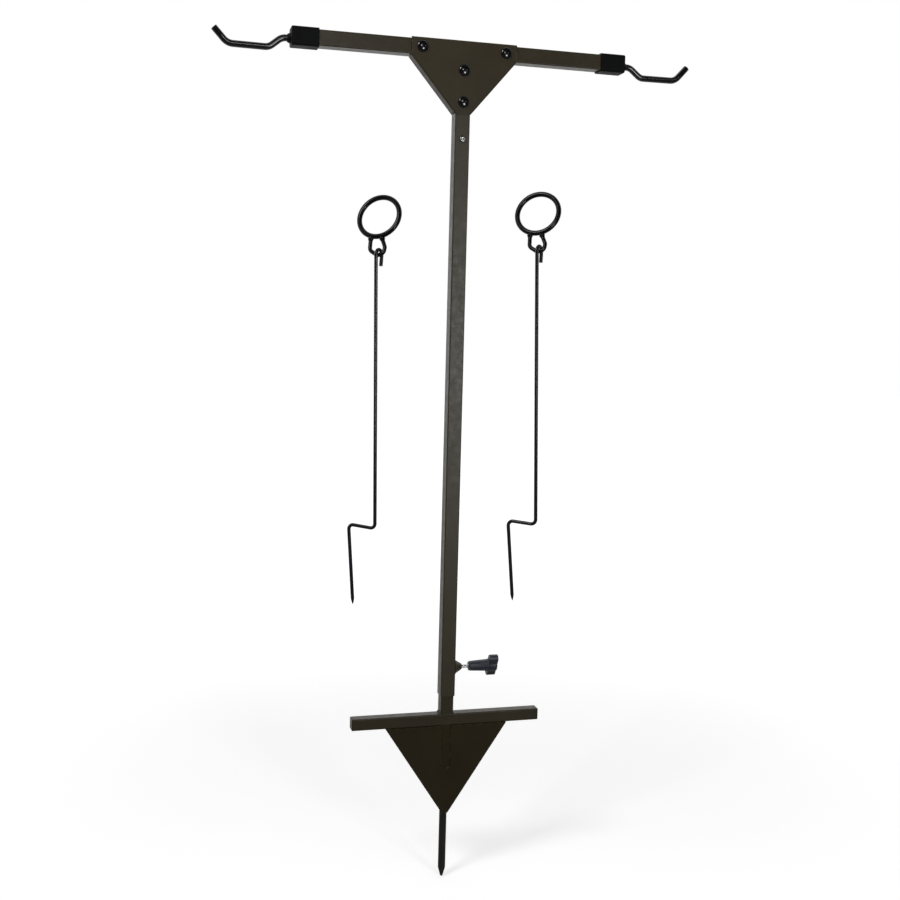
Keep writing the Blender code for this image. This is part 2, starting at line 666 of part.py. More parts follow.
def build_bar_end(name, sign):
    """Hook rod, the insert that grips it and the cap over the bar's end, on one side."""
    turn = ALONG_X if sign > 0 else ALONG_MINUS_X
    end = (sign * BAR_LENGTH / 2, 0.0, BAR_AXIS_HEIGHT)
    rod_drop = Matrix.Translation((0.0, 0.0, -HOOK_EXIT_DROP))

    insert_side = POST_SIDE - 2 * TUBE_WALL - 2 * SEAT_GAP
    insert_outline = rounded_square(insert_side, TUBE_CORNER - TUBE_WALL)
    block = prism_mesh(insert_outline, -HOOK_GRIP - SEAT_GAP, -SEAT_GAP, turn)
    insert = add_piece("hook_insert_" + name, block, DARK_STEEL, end)
    bore = HOOK_ROD + 2 * SEAT_GAP
    reach = HOOK_GRIP + OVERSHOOT
    rod_bore = round_cutter("hook_bore_" + name, bore, -reach, reach, rod_drop @ turn)
    rod_bore.location = end
    combine(insert, rod_bore)

    inner = POST_SIDE + 2 * SEAT_GAP
    outer = inner + 2 * CAP_WALL
    end_face = SEAT_GAP + CAP_END_WALL
    cap_outline = rounded_square(outer, TUBE_CORNER + CAP_WALL)
    body = rounded_end_mesh(cap_outline, end_face - CAP_LENGTH, end_face, CAP_EDGE, turn)
    cap = add_piece("end_cap_" + name, body, BLACK_RUBBER, end)
    soften(cap, BROKEN_EDGE, segments=1, angle=60.0)
    collar_outer = HOOK_ROD / 2 + SEAT_GAP + CAP_COLLAR_WALL
    collar_profile = [
        (0.0, end_face + CAP_COLLAR_LENGTH),
        (HOOK_ROD / 2 + SEAT_GAP + CAP_COLLAR_LIP, end_face + CAP_COLLAR_LENGTH),
        (collar_outer, end_face - CAP_END_WALL / 2),
        (0.0, end_face - CAP_END_WALL / 2),
    ]
    collar = add_cutter("cap_collar_" + name, revolved_mesh(collar_profile, rod_drop @ turn), end)
    combine(cap, collar, "UNION")
    pocket_outline = rounded_square(inner, TUBE_CORNER + SEAT_GAP)
    pocket = prism_mesh(pocket_outline, -CAP_LENGTH - OVERSHOOT, SEAT_GAP, turn)
    combine(cap, add_cutter("cap_pocket_" + name, pocket, end))
    combine(cap, rod_bore)

    rod = wire_mesh(hook_path(sign), HOOK_ROD, resolution=3)
    add_piece("hook_" + name, rod, BLACK_GLOSS, end)


def hook_path(sign):
    """Centre line of the hook, measured from the middle of the bar's end face."""
    ramp_end = HOOK_RAMP_START + HOOK_RAMP_LENGTH
    cradle_end = ramp_end + HOOK_CRADLE_LENGTH
    corners = [
        (-HOOK_GRIP, -HOOK_EXIT_DROP, 0.0),
        (HOOK_RAMP_START, -HOOK_EXIT_DROP, HOOK_RAMP_RADIUS),
        (ramp_end, -HOOK_CRADLE_DROP, HOOK_RAMP_RADIUS),
        (cradle_end, -HOOK_CRADLE_DROP + HOOK_CRADLE_RISE, HOOK_TIP_RADIUS),
        (cradle_end + HOOK_TIP_REACH, -HOOK_CRADLE_DROP + HOOK_TIP_RISE, 0.0),
    ]
    return rounded_path([((sign * x, 0.0, z), radius) for x, z, radius in corners])


def build_stop_screw():
    profile = screw_profile(STOP_SCREW_HEAD, STOP_SCREW_HEAD_HEIGHT, STOP_SCREW_SHANK, STOP_SCREW_REACH)
    place = (0.0, -POST_SIDE / 2 - SEAT_GAP, STOP_SCREW_HEIGHT)
    add_piece("stop_screw", revolved_mesh(profile, UPRIGHT), BRIGHT_ZINC, place)


def build_clamp():
    bore = CLAMP_SCREW / 2 + SEAT_GAP
    boss_low = POST_SIDE / 2 + SEAT_GAP
    boss_high = boss_low + CLAMP_BOSS_LENGTH
    boss_profile = [
        (bore, boss_low),
        (CLAMP_BOSS_DIAMETER / 2, boss_low),
        (CLAMP_BOSS_DIAMETER / 2, boss_low + CLAMP_BOSS_SKIRT),
        (CLAMP_BOSS_TIP / 2, boss_high),
        (bore, boss_high),
    ]
    axis = (0.0, 0.0, CLAMP_HEIGHT)
    add_piece("clamp_boss", revolved_mesh(boss_profile, ALONG_X, closed=True), OLIVE_COAT, axis)

    knob_low = boss_high + KNOB_STANDOFF
    screw_low = INNER_SIDE / 2 + SEAT_GAP
    screw_high = knob_low + KNOB_GRIP
    chamfer = (CLAMP_SCREW - CLAMP_SCREW_TIP) / 2
    screw_profile_points = [
        (0.0, screw_high),
        (CLAMP_SCREW / 2, screw_high),
        (CLAMP_SCREW / 2, screw_low + chamfer),
        (CLAMP_SCREW_TIP / 2, screw_low),
        (0.0, screw_low),
    ]
    add_piece("clamp_screw", revolved_mesh(screw_profile_points, ALONG_X), BRIGHT_ZINC, axis)

    hub_high = knob_low + KNOB_HUB_LENGTH
    hub_profile = [
        (bore, knob_low),
        (KNOB_NECK / 2, knob_low),
        (KNOB_HUB / 2, hub_high),
        (KNOB_HUB / 2, hub_high + KNOB_HEAD_THICKNESS / 2),
        (0.0, hub_high + KNOB_HEAD_THICKNESS / 2),
        (0.0, screw_high + SEAT_GAP),
        (bore, screw_high + SEAT_GAP),
    ]
    hub = revolved_mesh(hub_profile, ALONG_X, closed=True)
    knob = add_piece("clamp_knob", hub, KNOB_PLASTIC, axis)
    head = prism_mesh(knob_outline(), hub_high, hub_high + KNOB_HEAD_THICKNESS, ALONG_X)
    wings = add_cutter("knob_wings", head, axis)
    soften(wings, KNOB_EDGE, segments=3, angle=60.0)
    combine(knob, wings, "UNION")


def knob_outline():
    """Outline of the knob's head: a round middle and two wings, as it stands turned on the screw."""
    half_width, middle = KNOB_WING_WIDTH / 2, KNOB_MIDDLE / 2
    reach = KNOB_WING_SPAN / 2 - half_width
    meet = math.asin(half_width / middle)
    steps = ROUND_STEPS // 2
    points = []
    for side in (math.radians(KNOB_TURN), math.radians(KNOB_TURN) + math.pi):
        centre = Vector((reach * math.cos(side), reach * math.sin(side)))
        for step in range(steps + 1):
            angle = side + math.pi * (step / steps - 0.5)
            points.append(centre + half_width * Vector((math.cos(angle), math.sin(angle))))
        for step in range(steps + 1):
            angle = side + meet + (math.pi - 2 * meet) * step / steps
            points.append(middle * Vector((math.cos(angle), math.sin(angle))))
    return points


def stake_frame():
    """Directions of a stake: along the link's bottom wire, backwards from it, and up the leaning ring."""
    turn = math.radians(STAKE_TURN)
    lean = math.radians(RING_LEAN)
    along = Vector((math.cos(turn), math.sin(turn), 0.0))
    backward = Vector((-math.sin(turn), math.cos(turn), 0.0))
    up_ring = Vector((0.0, 0.0, math.cos(lean))) - backward * math.sin(lean)
    return along, backward, up_ring


def ring_mesh(thickness):
    """Ring at its place in the stake's frame."""
    along, _, up_ring = stake_frame()
    face = along.cross(up_ring)
    centre = along * RING_OFFSET + up_ring * RING_REACH
    matrix = Matrix((along, up_ring, face)).transposed().to_4x4()
    matrix.translation = centre
    bm = bmesh.new()
    section = circle(thickness, (RING_DIAMETER / 2, 0.0), WIRE_STEPS + 4)
    revolve(bm, section, matrix, RING_STEPS, closed=True)
    return mesh_of(bm)


def link_path():
    """Centre line of the U-shaped link; the eye hangs just beside its lowest point."""
    along, _, up_ring = stake_frame()
    top = RING_REACH - RING_DIAMETER / 2
    corners = [
        (LINK_LEFT_TOP, top, 0.0),
        (LINK_LEFT_HIP, LINK_BEND, LINK_BEND),
        (LINK_BOTTOM_OFFSET, -LINK_BOTTOM_DROP, LINK_BEND),
        (LINK_RIGHT_HIP, LINK_HIP_HEIGHT, LINK_BEND),
        (LINK_RIGHT_TOP, top, 0.0),
    ]
    flat = rounded_path([((a, b, 0.0), radius) for a, b, radius in corners])
    lowest = min(flat, key=lambda point: point.y)
    return [along * (point.x - lowest.x) + up_ring * (point.y - lowest.y) for point in flat]


def rod_path(lean):
    """Centre line of the rod, hanging with its centre of mass under the hinge."""
    along, backward, _ = stake_frame()
    radius = (LINK_WIRE + ROD_WIRE) / 2 + EYE_CLEARANCE
    tail_lean = math.radians(EYE_TAIL_LEAN)
    tail_corner = radius * math.tan((math.pi / 2 + tail_lean) / 2) + 1e-5
    tail_drop = EYE_TAIL_LENGTH * math.cos(tail_lean)
    tail_in = EYE_TAIL_LENGTH * math.sin(tail_lean)
    leg_lean = math.radians(FOOT_LEG_LEAN)
    leg = Vector((math.sin(leg_lean), 0.0, -math.cos(leg_lean))) * FOOT_LEG
    twist = math.radians(EYE_TWIST)
    across = Vector((math.cos(twist), math.sin(twist), 0.0))
    up = Vector((0.0, 0.0, 1.0))
    shaft_foot = -across * radius - up * ROD_LENGTH
    foot = shaft_foot + Vector((-FOOT_OFFSET, 0.0, FOOT_RISE))
    corners = [
        (across * (tail_corner - tail_in) + up * (radius - tail_drop), 0.0),
        (across * tail_corner + up * radius, radius),
        (-across * radius + up * radius, radius),
        (shaft_foot, FOOT_BEND),
        (foot, FOOT_BEND),
        (foot + leg * (1 - FOOT_POINT / FOOT_LEG), 0.0),
    ]
    bent = rounded_path(corners) + [foot + leg]
    sideways = Matrix.Rotation(math.radians(-lean), 3, "Y")
    leaned = [sideways @ point for point in bent]
    heavy = centre_of_mass(leaned)
    hang = Matrix.Rotation(-math.atan2(heavy.y, -heavy.z), 3, "X")
    to_world = Matrix((along, backward, up)).transposed()
    return [to_world @ hang @ point for point in leaned]


def centre_of_mass(path):
    """Middle of a path's length."""
    total, weighted = 0.0, Vector((0.0, 0.0, 0.0))
    for first, second in zip(path, path[1:]):
        length = (second - first).length
        total += length
        weighted += (first + second) / 2 * length
    return weighted / total


def build_stake(name, hinge, lean):
    add_piece(name + "_ring", ring_mesh(RING_WIRE), BLACK_OXIDE, hinge)
    link = add_piece(name + "_link", wire_mesh(link_path(), LINK_WIRE), BLACK_OXIDE, hinge)
    combine(link, add_cutter(name + "_link_cope", ring_mesh(RING_WIRE + 2 * SEAT_GAP), hinge))
    path = rod_path(lean)
    rod = wire_mesh(path, ROD_WIRE, taper={len(path) - 1: FOOT_TIP_DIAMETER / ROD_WIRE})
    add_piece(name + "_rod", rod, DARK_STEEL, hinge)


build_step_bar()
build_spade()
build_spike()
build_inner_tube()
build_post()
build_crossbar()
build_gusset_front()
build_gusset_back()
build_gusset_fasteners()
build_bar_end("left", -1)
build_bar_end("right", 1)
build_stop_screw()
build_clamp()
build_stake("left", LEFT_STAKE, LEFT_STAKE_LEAN)
build_stake("right", RIGHT_STAKE, RIGHT_STAKE_LEAN)
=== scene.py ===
"""Finished look of the T-shaped ground stand and its two ring stakes.

Metres, +Z up along the post, the front faces -Y. Height zero is the underside of the step bar.
"""
import math

import bmesh
import bpy
from mathutils import Matrix, Vector


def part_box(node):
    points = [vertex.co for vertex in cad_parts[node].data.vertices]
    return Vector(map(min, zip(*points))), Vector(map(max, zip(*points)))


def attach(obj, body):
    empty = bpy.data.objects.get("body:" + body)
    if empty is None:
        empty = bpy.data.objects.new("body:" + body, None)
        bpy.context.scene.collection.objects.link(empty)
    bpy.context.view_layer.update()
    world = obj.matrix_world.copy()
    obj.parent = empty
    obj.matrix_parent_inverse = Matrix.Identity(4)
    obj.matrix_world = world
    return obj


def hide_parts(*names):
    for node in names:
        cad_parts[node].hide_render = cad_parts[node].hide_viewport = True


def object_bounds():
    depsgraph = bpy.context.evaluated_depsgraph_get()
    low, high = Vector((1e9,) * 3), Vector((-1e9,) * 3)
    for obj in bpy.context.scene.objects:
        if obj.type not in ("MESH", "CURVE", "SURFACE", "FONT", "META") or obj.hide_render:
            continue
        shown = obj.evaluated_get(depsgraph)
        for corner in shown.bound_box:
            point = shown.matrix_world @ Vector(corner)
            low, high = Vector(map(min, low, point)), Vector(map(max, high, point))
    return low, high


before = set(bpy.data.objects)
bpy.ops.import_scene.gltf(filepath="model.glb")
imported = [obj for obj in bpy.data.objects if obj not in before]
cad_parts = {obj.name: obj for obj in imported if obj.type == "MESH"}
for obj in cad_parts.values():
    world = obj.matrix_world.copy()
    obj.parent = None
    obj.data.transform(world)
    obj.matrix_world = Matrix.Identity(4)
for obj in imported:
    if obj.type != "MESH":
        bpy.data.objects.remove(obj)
cad_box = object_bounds()

# Camera at the photograph's place: direction in degrees, lens in millimetres.
CAMERA_PLACE = (-0.52314, -1.91678, 0.68472)
CAMERA_YAW = 15.15889
CAMERA_PITCH = -6.04972
CAMERA_ROLL = 1.47110
CAMERA_LENS = 47.5224

# Soft lamps: name, place, aim, width, height and power in watts.
SOFT_LAMPS = (
    ("front_softbox", (0.66, -2.45, 0.58), (0.0, 0.0, 0.66), 0.55, 0.66, 21.0),
    ("high_front_softbox", (-0.12, -2.45, 1.72), (0.0, 0.0, 1.10), 0.45, 0.45, 5.6),
    ("right_front_lamp", (1.20, -1.90, 1.60), (0.3, 0.0, 1.10), 0.16, 0.16, 0.7),
    ("upper_left_softbox", (-1.7, -1.3, 2.5), (0.0, 0.0, 0.7), 0.7, 0.7, 30.0),
)

# Room round the stand: what shiny surfaces see of it from front to back, and its soft light.
ROOM_DEPTHS = (-0.45, 0.30)
ROOM_LEVELS = (0.04, 1.35)
SOFT_LEVEL = 0.36

# White floor: its own light near the stand and far off, and what shiny surfaces see of it.
FLOOR_REACH = 14.0
FLOOR_DROP = 0.0005
FLOOR_GLOW = (0.47, 0.78)
FLOOR_GLOW_REACH = (0.5, 2.4)
FLOOR_SHINE_DEPTHS = (-1.0, 1.5)
FLOOR_SHINE_LEVELS = (0.05, 0.85)
FLOOR_WHITE = (0.80, 0.80, 0.80, 1.0)
FLOOR_GREY = (0.10, 0.10, 0.10, 1.0)

# Square tube, and the fits and edges that pieces share.
TUBE_WALL = 0.0012
TUBE_CORNER = 0.002
TUBE_RIM = 0.00025
SEAT_GAP = 0.0003
FINE_EDGE = 0.0002
BROKEN_EDGE = 0.0004

# Foot. A bead is the width and the pitch of a weld's scallops, and a shoulder lists how far
# its points lie inside the bar's radius and over the point's height.
PLUG_EDGE = 0.0015
PLUG_STEM_SINK = 0.0005
SPADE_SEAM_INSET = 0.004
SPADE_SEAM_DEPTH = 0.0004
SPADE_SEAM_DROP = 0.0012
SPADE_SEAM_ENDS = (-1.0, -0.07, 0.07, 1.0)
SPADE_BEAD = (0.0034, 0.0018)
SPIKE_POINT = 0.0155
SPIKE_TIP = 0.0025
SPIKE_SHOULDER = ((0.0, 0.0012), (0.0001, 0.0), (0.0006, -0.0016))
SPIKE_SEAM_DROP = 0.0010
SPIKE_SEAM_HALF = 82.5
SPIKE_SEAM_RUNS = 11
SPIKE_BEAD = (0.0028, 0.0017)
TUBE_SEAM_RISE = 0.0001
TUBE_SEAM_INSET = 0.0015
TUBE_SIDE_BEAD = (0.0034, 0.0017)
TUBE_FRONT_BEAD = (0.0030, 0.0017)

# Gusset and its fasteners. The nut's corners are cut from a share of its half width outwards.
GUSSET_EDGE = 0.0003
BOLT_SHANK = 0.008
BOLT_HEAD_HEIGHT = 0.0046
BOLT_RIM = 0.0009
BOLT_CHAMFER = 0.0007
BOLT_PITCH = 0.00125
BOLT_THREAD_PROUD = 0.00005
BOLT_THREAD_IN_NUT = 0.001
WASHER_ROLL = (0.0003, 0.0004)
NUT_CHAMFER_START = 1.02
NUT_CHAMFER_SLOPE = 0.6

# Stop screw and the socket in its head.
STOP_SHANK = 0.005
STOP_HEAD_HEIGHT = 0.0032
STOP_HEAD_ROUND = 0.0019
STOP_HEAD_EDGE = 0.0003
STOP_TIP_CHAMFER = 0.0005
SOCKET_MOUTH = 0.0024
SOCKET_SHARE = 0.86
SOCKET_DISH = 0.0001
SOCKET_DEPTH = 0.0016

# Cap. Its collar is given by the wall beside the rod and the height over the cap's face.
CAP_CORNER = 0.004
CAP_EDGE = 0.0024
CAP_WALL = 0.0019
COLLAR_PLAY = 0.0001
COLLAR = (
    (0.0, 0.005),
    (0.0008, 0.005),
    (0.0012, 0.0045),
    (0.0028, 0.0007),
    (0.0040, -0.0001),
    (0.0040, -0.001),
    (0.0, -0.001),
)

# Hook: distance past the bar's end, height over the bar's axis and bend radius at each corner.
HOOK_ROD = 0.0106
HOOK_END_EDGE = 0.0005
HOOK_CORNERS = (
    (-0.0275, -0.0025, 0.0),
    (0.0168, -0.0025, 0.018),
    (0.0368, -0.0184, 0.018),
    (0.1005, -0.0178, 0.020),
    (0.1214, 0.0049, 0.0),
)

# Clamp's screw, and its boss: the skirt is measured from the post, the nose from the boss's tip.
CLAMP_THREAD = 0.006
CLAMP_PITCH = 0.001
CLAMP_THREAD_DEPTH = 0.0004
CLAMP_THREAD_END = 0.0005
CLAMP_POINT = 0.0012
CLAMP_POINT_RADIUS = 0.0018
BOSS_TIP_RADIUS = 0.00475
BOSS_SKIRT = ((0.0, 0.0010), (0.0006, 0.0020))
BOSS_NOSE = ((0.0012, 0.0016), (0.0004, 0.0005), (-0.0002, 0.0))
BOSS_SEAM_RISE = 0.0006
BOSS_SEAM_SIDES = 24
BOSS_BEAD = (0.0022, 0.0016)

# Knob: radius and height, over the hub's foot, the head's underside and the crown in turn.
KNOB_NECK = ((0.0072, 0.0), (0.00795, 0.0007), (0.0082, 0.0022))
KNOB_SHOULDER = ((0.0100, -0.0014), (0.0105, -0.0004), (0.0110, 0.0006))
KNOB_GROOVE = ((0.0068, 0.0), (0.0066, -0.0005), (0.0062, -0.0005), (0.0060, -0.0001), (0.0, -0.0001))
KNOB_CROWN_ROUND = 0.0030
KNOB_SCREW_ROOM = 0.0006
KNOB_HEAD = 0.0152
KNOB_MIDDLE = 0.022
KNOB_RIBS = 12
KNOB_RIB_WIRE = 0.0010
KNOB_RIB_FOOT = (0.0081, 0.0030)
KNOB_WING = (0.045, 0.014)
KNOB_WING_CORNER = 0.00698
KNOB_WING_SINK = 0.0004
KNOB_WING_TOP_EDGE = 0.0038
KNOB_WING_FOOT_EDGE = 0.0034
KNOB_TURN = 32.0

# Ring stakes: where each rod's eye hangs, how far its shaft leans and how the ring stands.
STAKE_HINGES = {"left": (-0.1258, 0.030, 0.7951), "right": (0.1324, -0.030, 0.8080)}
ROD_LEANS = {"left": 0.2, "right": 1.2}
STAKE_TURN = -36.5
RING_LEAN = -21.5
RING_WIRE = 0.00878
RING_MEAN = 0.0716
RING_OFFSET = -0.0123
RING_REACH = 0.0691
RING_SIDES = 28

# Link: its corners across and up the ring's plane, and its weld collars as share and size.
LINK_WIRE = 0.007
LINK_BEND = 0.0095
LINK_LEFT_TOP = -0.0240
LINK_RIGHT_TOP = -0.0042
LINK_LEFT_HIP = (-0.0215, 0.0095)
LINK_RIGHT_HIP = (0.0050, 0.0150)
LINK_BOTTOM = (0.0040, -0.0059)
LINK_COLLAR = 0.0045
LINK_COLLAR_SINK = 0.0008
LINK_COLLAR_SIZES = ((0.0, 1.42), (0.3, 1.26), (0.65, 1.10), (1.0, 1.02))

# Rod: eye, whose two bends stay a hair apart, shaft, foot peg and leg, whose point narrows by
# share of its length.
ROD_WIRE = 0.0062
ROD_LENGTH = 0.458
EYE_CLEARANCE = 0.0020
EYE_HAIR = 1e-5
EYE_TWIST = 82.0
EYE_TAIL = 0.027
EYE_TAIL_LEAN = 8.0
PEG_LENGTH = 0.0495
PEG_RISE = 0.004
PEG_BEND = 0.008
FOOT_LEG = 0.140
FOOT_LEG_LEAN = 3.4
FOOT_POINT = 0.011
FOOT_POINT_SIZES = ((0.35, 0.80), (0.7, 0.48), (0.9, 0.24), (1.0, 0.08))

# Base colours of the finishes.
OLIVE = (0.0235, 0.0178, 0.0072)
RUBBED_OLIVE = (0.055, 0.047, 0.032)
ENAMEL_BLACK = (0.0020, 0.0020, 0.0027)
CAP_BLACK = (0.0016, 0.0018, 0.0021)
WORN_CAP_BLACK = (0.0032, 0.0035, 0.0040)
KNOB_BLUE_BLACK = (0.0050, 0.0085, 0.0175)
WORN_KNOB_BLACK = (0.013, 0.016, 0.024)
ZINC_GREY = (0.56, 0.56, 0.55)
ZINC_WARM = (0.60, 0.58, 0.52)
ZINC_COOL = (0.50, 0.52, 0.56)
BARE_STEEL = (0.30, 0.29, 0.28)

# Turns a shape made along Z so that it runs along +X, -X or to the front, -Y.
ALONG_X = Matrix.Rotation(math.radians(90), 4, "Y")
ALONG_MINUS_X = Matrix.Rotation(math.radians(-90), 4, "Y")
TO_FRONT = Matrix.Rotation(math.radians(90), 4, "X")

# Faces above this area are shaded flat up to their edges.
LARGE_FLAT = 3e-5

# Thread's ridge in shares of its pitch, outwards and along, and its steps for each turn.
THREAD_PROFILE = ((-0.5, 0.0), (0.0, 0.4), (0.0, 0.5), (-0.5, 0.9))
THREAD_STEPS = 32

# Weld's scallops: length in shares of their pitch, and how much their widths differ.
SCALLOP_LENGTH = 0.95
SCALLOP_UNEVENNESS = 0.10


# Camera, lamps, surroundings and floor.
def place_camera():
    yaw, pitch, roll = (math.radians(angle) for angle in (CAMERA_YAW, CAMERA_PITCH, CAMERA_ROLL))
    flat_ahead = Vector((math.sin(yaw), math.cos(yaw), 0.0))
    ahead = flat_ahead * math.cos(pitch) + Vector((0.0, 0.0, math.sin(pitch)))
    level = Vector((math.cos(yaw), -math.sin(yaw), 0.0))
    above = level.cross(ahead)
    right = level * math.cos(roll) + above * math.sin(roll)
    up = above * math.cos(roll) - level * math.sin(roll)
    lens = bpy.data.cameras.new("photo_camera")
    lens.sensor_width = 36.0
    lens.lens = CAMERA_LENS
    lens.clip_start = 0.05
    lens.clip_end = 60.0
    camera = bpy.data.objects.new("photo_camera", lens)
    matrix = Matrix((right, up, -ahead)).transposed().to_4x4()
    matrix.translation = CAMERA_PLACE
    camera.matrix_world = matrix
    bpy.context.scene.collection.objects.link(camera)
    bpy.context.scene.camera = camera


def soft_lamp(name, place, target, width, height, power):
    light = bpy.data.lights.new(name, "AREA")
    light.shape = "RECTANGLE"
    light.size = width
    light.size_y = height
    light.energy = power
    lamp = bpy.data.objects.new(name, light)
    lamp.location = place
    aim = Vector(target) - Vector(place)
    lamp.rotation_euler = aim.to_track_quat("-Z", "Y").to_euler()
    lamp.visible_camera = False
    bpy.context.scene.collection.objects.link(lamp)


def add_node(tree, kind, values=None, **settings):
    """New node with its settings; each value is a number, a colour or another node's output."""
    node = tree.nodes.new(kind)
    for name, setting in settings.items():
        setattr(node, name, setting)
    for name, value in (values or {}).items():
        if isinstance(value, bpy.types.NodeSocket):
            tree.links.new(value, node.inputs[name])
        else:
            node.inputs[name].default_value = value
    return node


def smooth_ramp(tree, value, limits, levels):
    """Level that rises smoothly while a value runs between two limits."""
    values = {"Value": value, "From Min": limits[0], "From Max": limits[1]}
    values.update({"To Min": levels[0], "To Max": levels[1]})
    return add_node(tree, "ShaderNodeMapRange", values, interpolation_type="SMOOTHSTEP").outputs[0]


def front_to_back(tree, place, limits, levels):
    """Level that rises smoothly from the front, -Y, to the back."""
    split = add_node(tree, "ShaderNodeSeparateXYZ", {0: place})
    return smooth_ramp(tree, split.outputs["Y"], limits, levels)


def combine(tree, operation, first, second):
    return add_node(tree, "ShaderNodeMath", {0: first, 1: second}, operation=operation).outputs[0]


def build_surroundings():
    """White behind the stand; shiny surfaces see a dim room in front of it."""
    world = bpy.data.worlds.new("studio")
    world.use_nodes = True
    tree = world.node_tree
    tree.nodes.clear()
    path = add_node(tree, "ShaderNodeLightPath").outputs
    place = add_node(tree, "ShaderNodeTexCoord").outputs["Generated"]
    room = front_to_back(tree, place, ROOM_DEPTHS, ROOM_LEVELS)
    shine = combine(tree, "MAXIMUM", path["Is Glossy Ray"], path["Is Transmission Ray"])
    soft = add_node(tree, "ShaderNodeMix", {"Factor": shine, "A": SOFT_LEVEL, "B": room})
    seen = {"Factor": path["Is Camera Ray"], "A": soft.outputs["Result"], "B": 1.0}
    final = add_node(tree, "ShaderNodeMix", seen)
    light = {"Color": (1.0, 1.0, 1.0, 1.0), "Strength": final.outputs["Result"]}
    background = add_node(tree, "ShaderNodeBackground", light)
    add_node(tree, "ShaderNodeOutputWorld", {"Surface": background.outputs[0]})
    bpy.context.scene.world = world


def floor_material():
    """White that glows more with distance; shiny surfaces see it dim in front and light behind."""
    material = bpy.data.materials.new("pale_floor")
    material.use_nodes = True
    tree = material.node_tree
    shader = tree.nodes["Principled BSDF"]
    path = add_node(tree, "ShaderNodeLightPath").outputs
    place = add_node(tree, "ShaderNodeTexCoord").outputs["Object"]
    away = add_node(tree, "ShaderNodeVectorMath", {0: place}, operation="LENGTH").outputs["Value"]
    white = smooth_ramp(tree, away, FLOOR_GLOW_REACH, FLOOR_GLOW)
    room = front_to_back(tree, place, FLOOR_SHINE_DEPTHS, FLOOR_SHINE_LEVELS)
    seen = combine(tree, "MAXIMUM", path["Is Camera Ray"], path["Is Transmission Ray"])
    plain = combine(tree, "MULTIPLY", seen, white)
    mirrored = combine(tree, "MULTIPLY", path["Is Glossy Ray"], room)
    glow = combine(tree, "ADD", plain, mirrored)
    pale = {"Factor": path["Is Glossy Ray"], 6: FLOOR_WHITE, 7: FLOOR_GREY}
    colour = add_node(tree, "ShaderNodeMix", pale, data_type="RGBA")
    tree.links.new(colour.outputs[2], shader.inputs["Base Color"])
    shader.inputs["Roughness"].default_value = 0.9
    shader.inputs["Specular IOR Level"].default_value = 0.1
    shader.inputs["Emission Color"].default_value = (1.0, 1.0, 1.0, 1.0)
    tree.links.new(glow, shader.inputs["Emission Strength"])
    return material


def build_floor():
    """White floor just under the spike's point; it keeps the shadow."""
    bm = bmesh.new()
    bmesh.ops.create_grid(bm, x_segments=8, y_segments=8, size=FLOOR_REACH)
    bmesh.ops.translate(bm, verts=bm.verts, vec=(0.0, 0.0, cad_box[0][2] - FLOOR_DROP))
    mesh = bpy.data.meshes.new("pale_floor")
    bm.to_mesh(mesh)
    bm.free()
    mesh.materials.append(floor_material())
    floor = bpy.data.objects.new("pale_floor", mesh)
    bpy.context.scene.collection.objects.link(floor)


# Finishes.
def start_finish(name, colour, roughness, metallic=0.0, specular=0.5):
    """New material with its plain values on the shader; gives back the material and its shader."""
    material = bpy.data.materials.new(name)
    material.use_nodes = True
    shader = material.node_tree.nodes["Principled BSDF"]
    shader.inputs["Base Color"].default_value = (*colour, 1.0)
    shader.inputs["Roughness"].default_value = roughness
    shader.inputs["Metallic"].default_value = metallic
    shader.inputs["Specular IOR Level"].default_value = specular
    return material, shader


def shaded(colour, share):
    """Colour made lighter or darker."""
    return tuple(channel * share for channel in colour)


def surface_noise(material, scale, detail=2.0, stretch=(1.0, 1.0, 1.0)):
    """Noise that follows the piece; scale is in cells per metre."""
    tree = material.node_tree
    place = add_node(tree, "ShaderNodeTexCoord").outputs["Object"]
    mapping = add_node(tree, "ShaderNodeMapping", {"Vector": place, "Scale": stretch})
    noise = {"Vector": mapping.outputs[0], "Scale": scale, "Detail": detail}
    return add_node(tree, "ShaderNodeTexNoise", noise).outputs["Fac"]


def remap(material, value, low, high, start=0.3, end=0.7):
    """Spreads a noise value between two limits."""
    values = {"Value": value, "From Min": start, "From Max": end, "To Min": low, "To Max": high}
    return add_node(material.node_tree, "ShaderNodeMapRange", values).outputs[0]


def blend_colour(material, factor, first, second):
    """Mix of two colours, each three numbers or another node's output."""
    values = {"Factor": factor}
    for slot, colour in ((6, first), (7, second)):
        values[slot] = (*colour, 1.0) if isinstance(colour, tuple) else colour
    return add_node(material.node_tree, "ShaderNodeMix", values, data_type="RGBA").outputs[2]


def set_colour(material, shader, colour):
    material.node_tree.links.new(colour, shader.inputs["Base Color"])


def vary_gloss(material, shader, scale, detail, low, high):
    """Roughness that wanders between two levels."""
    gloss = remap(material, surface_noise(material, scale, detail), low, high)
    material.node_tree.links.new(gloss, shader.inputs["Roughness"])


def add_grain(material, shader, height, depth):
    """Bump of a given depth in metres from a height value."""
    tree = material.node_tree
    bump = add_node(tree, "ShaderNodeBump", {"Strength": 1.0, "Distance": depth, "Height": height})
    tree.links.new(bump.outputs[0], shader.inputs["Normal"])


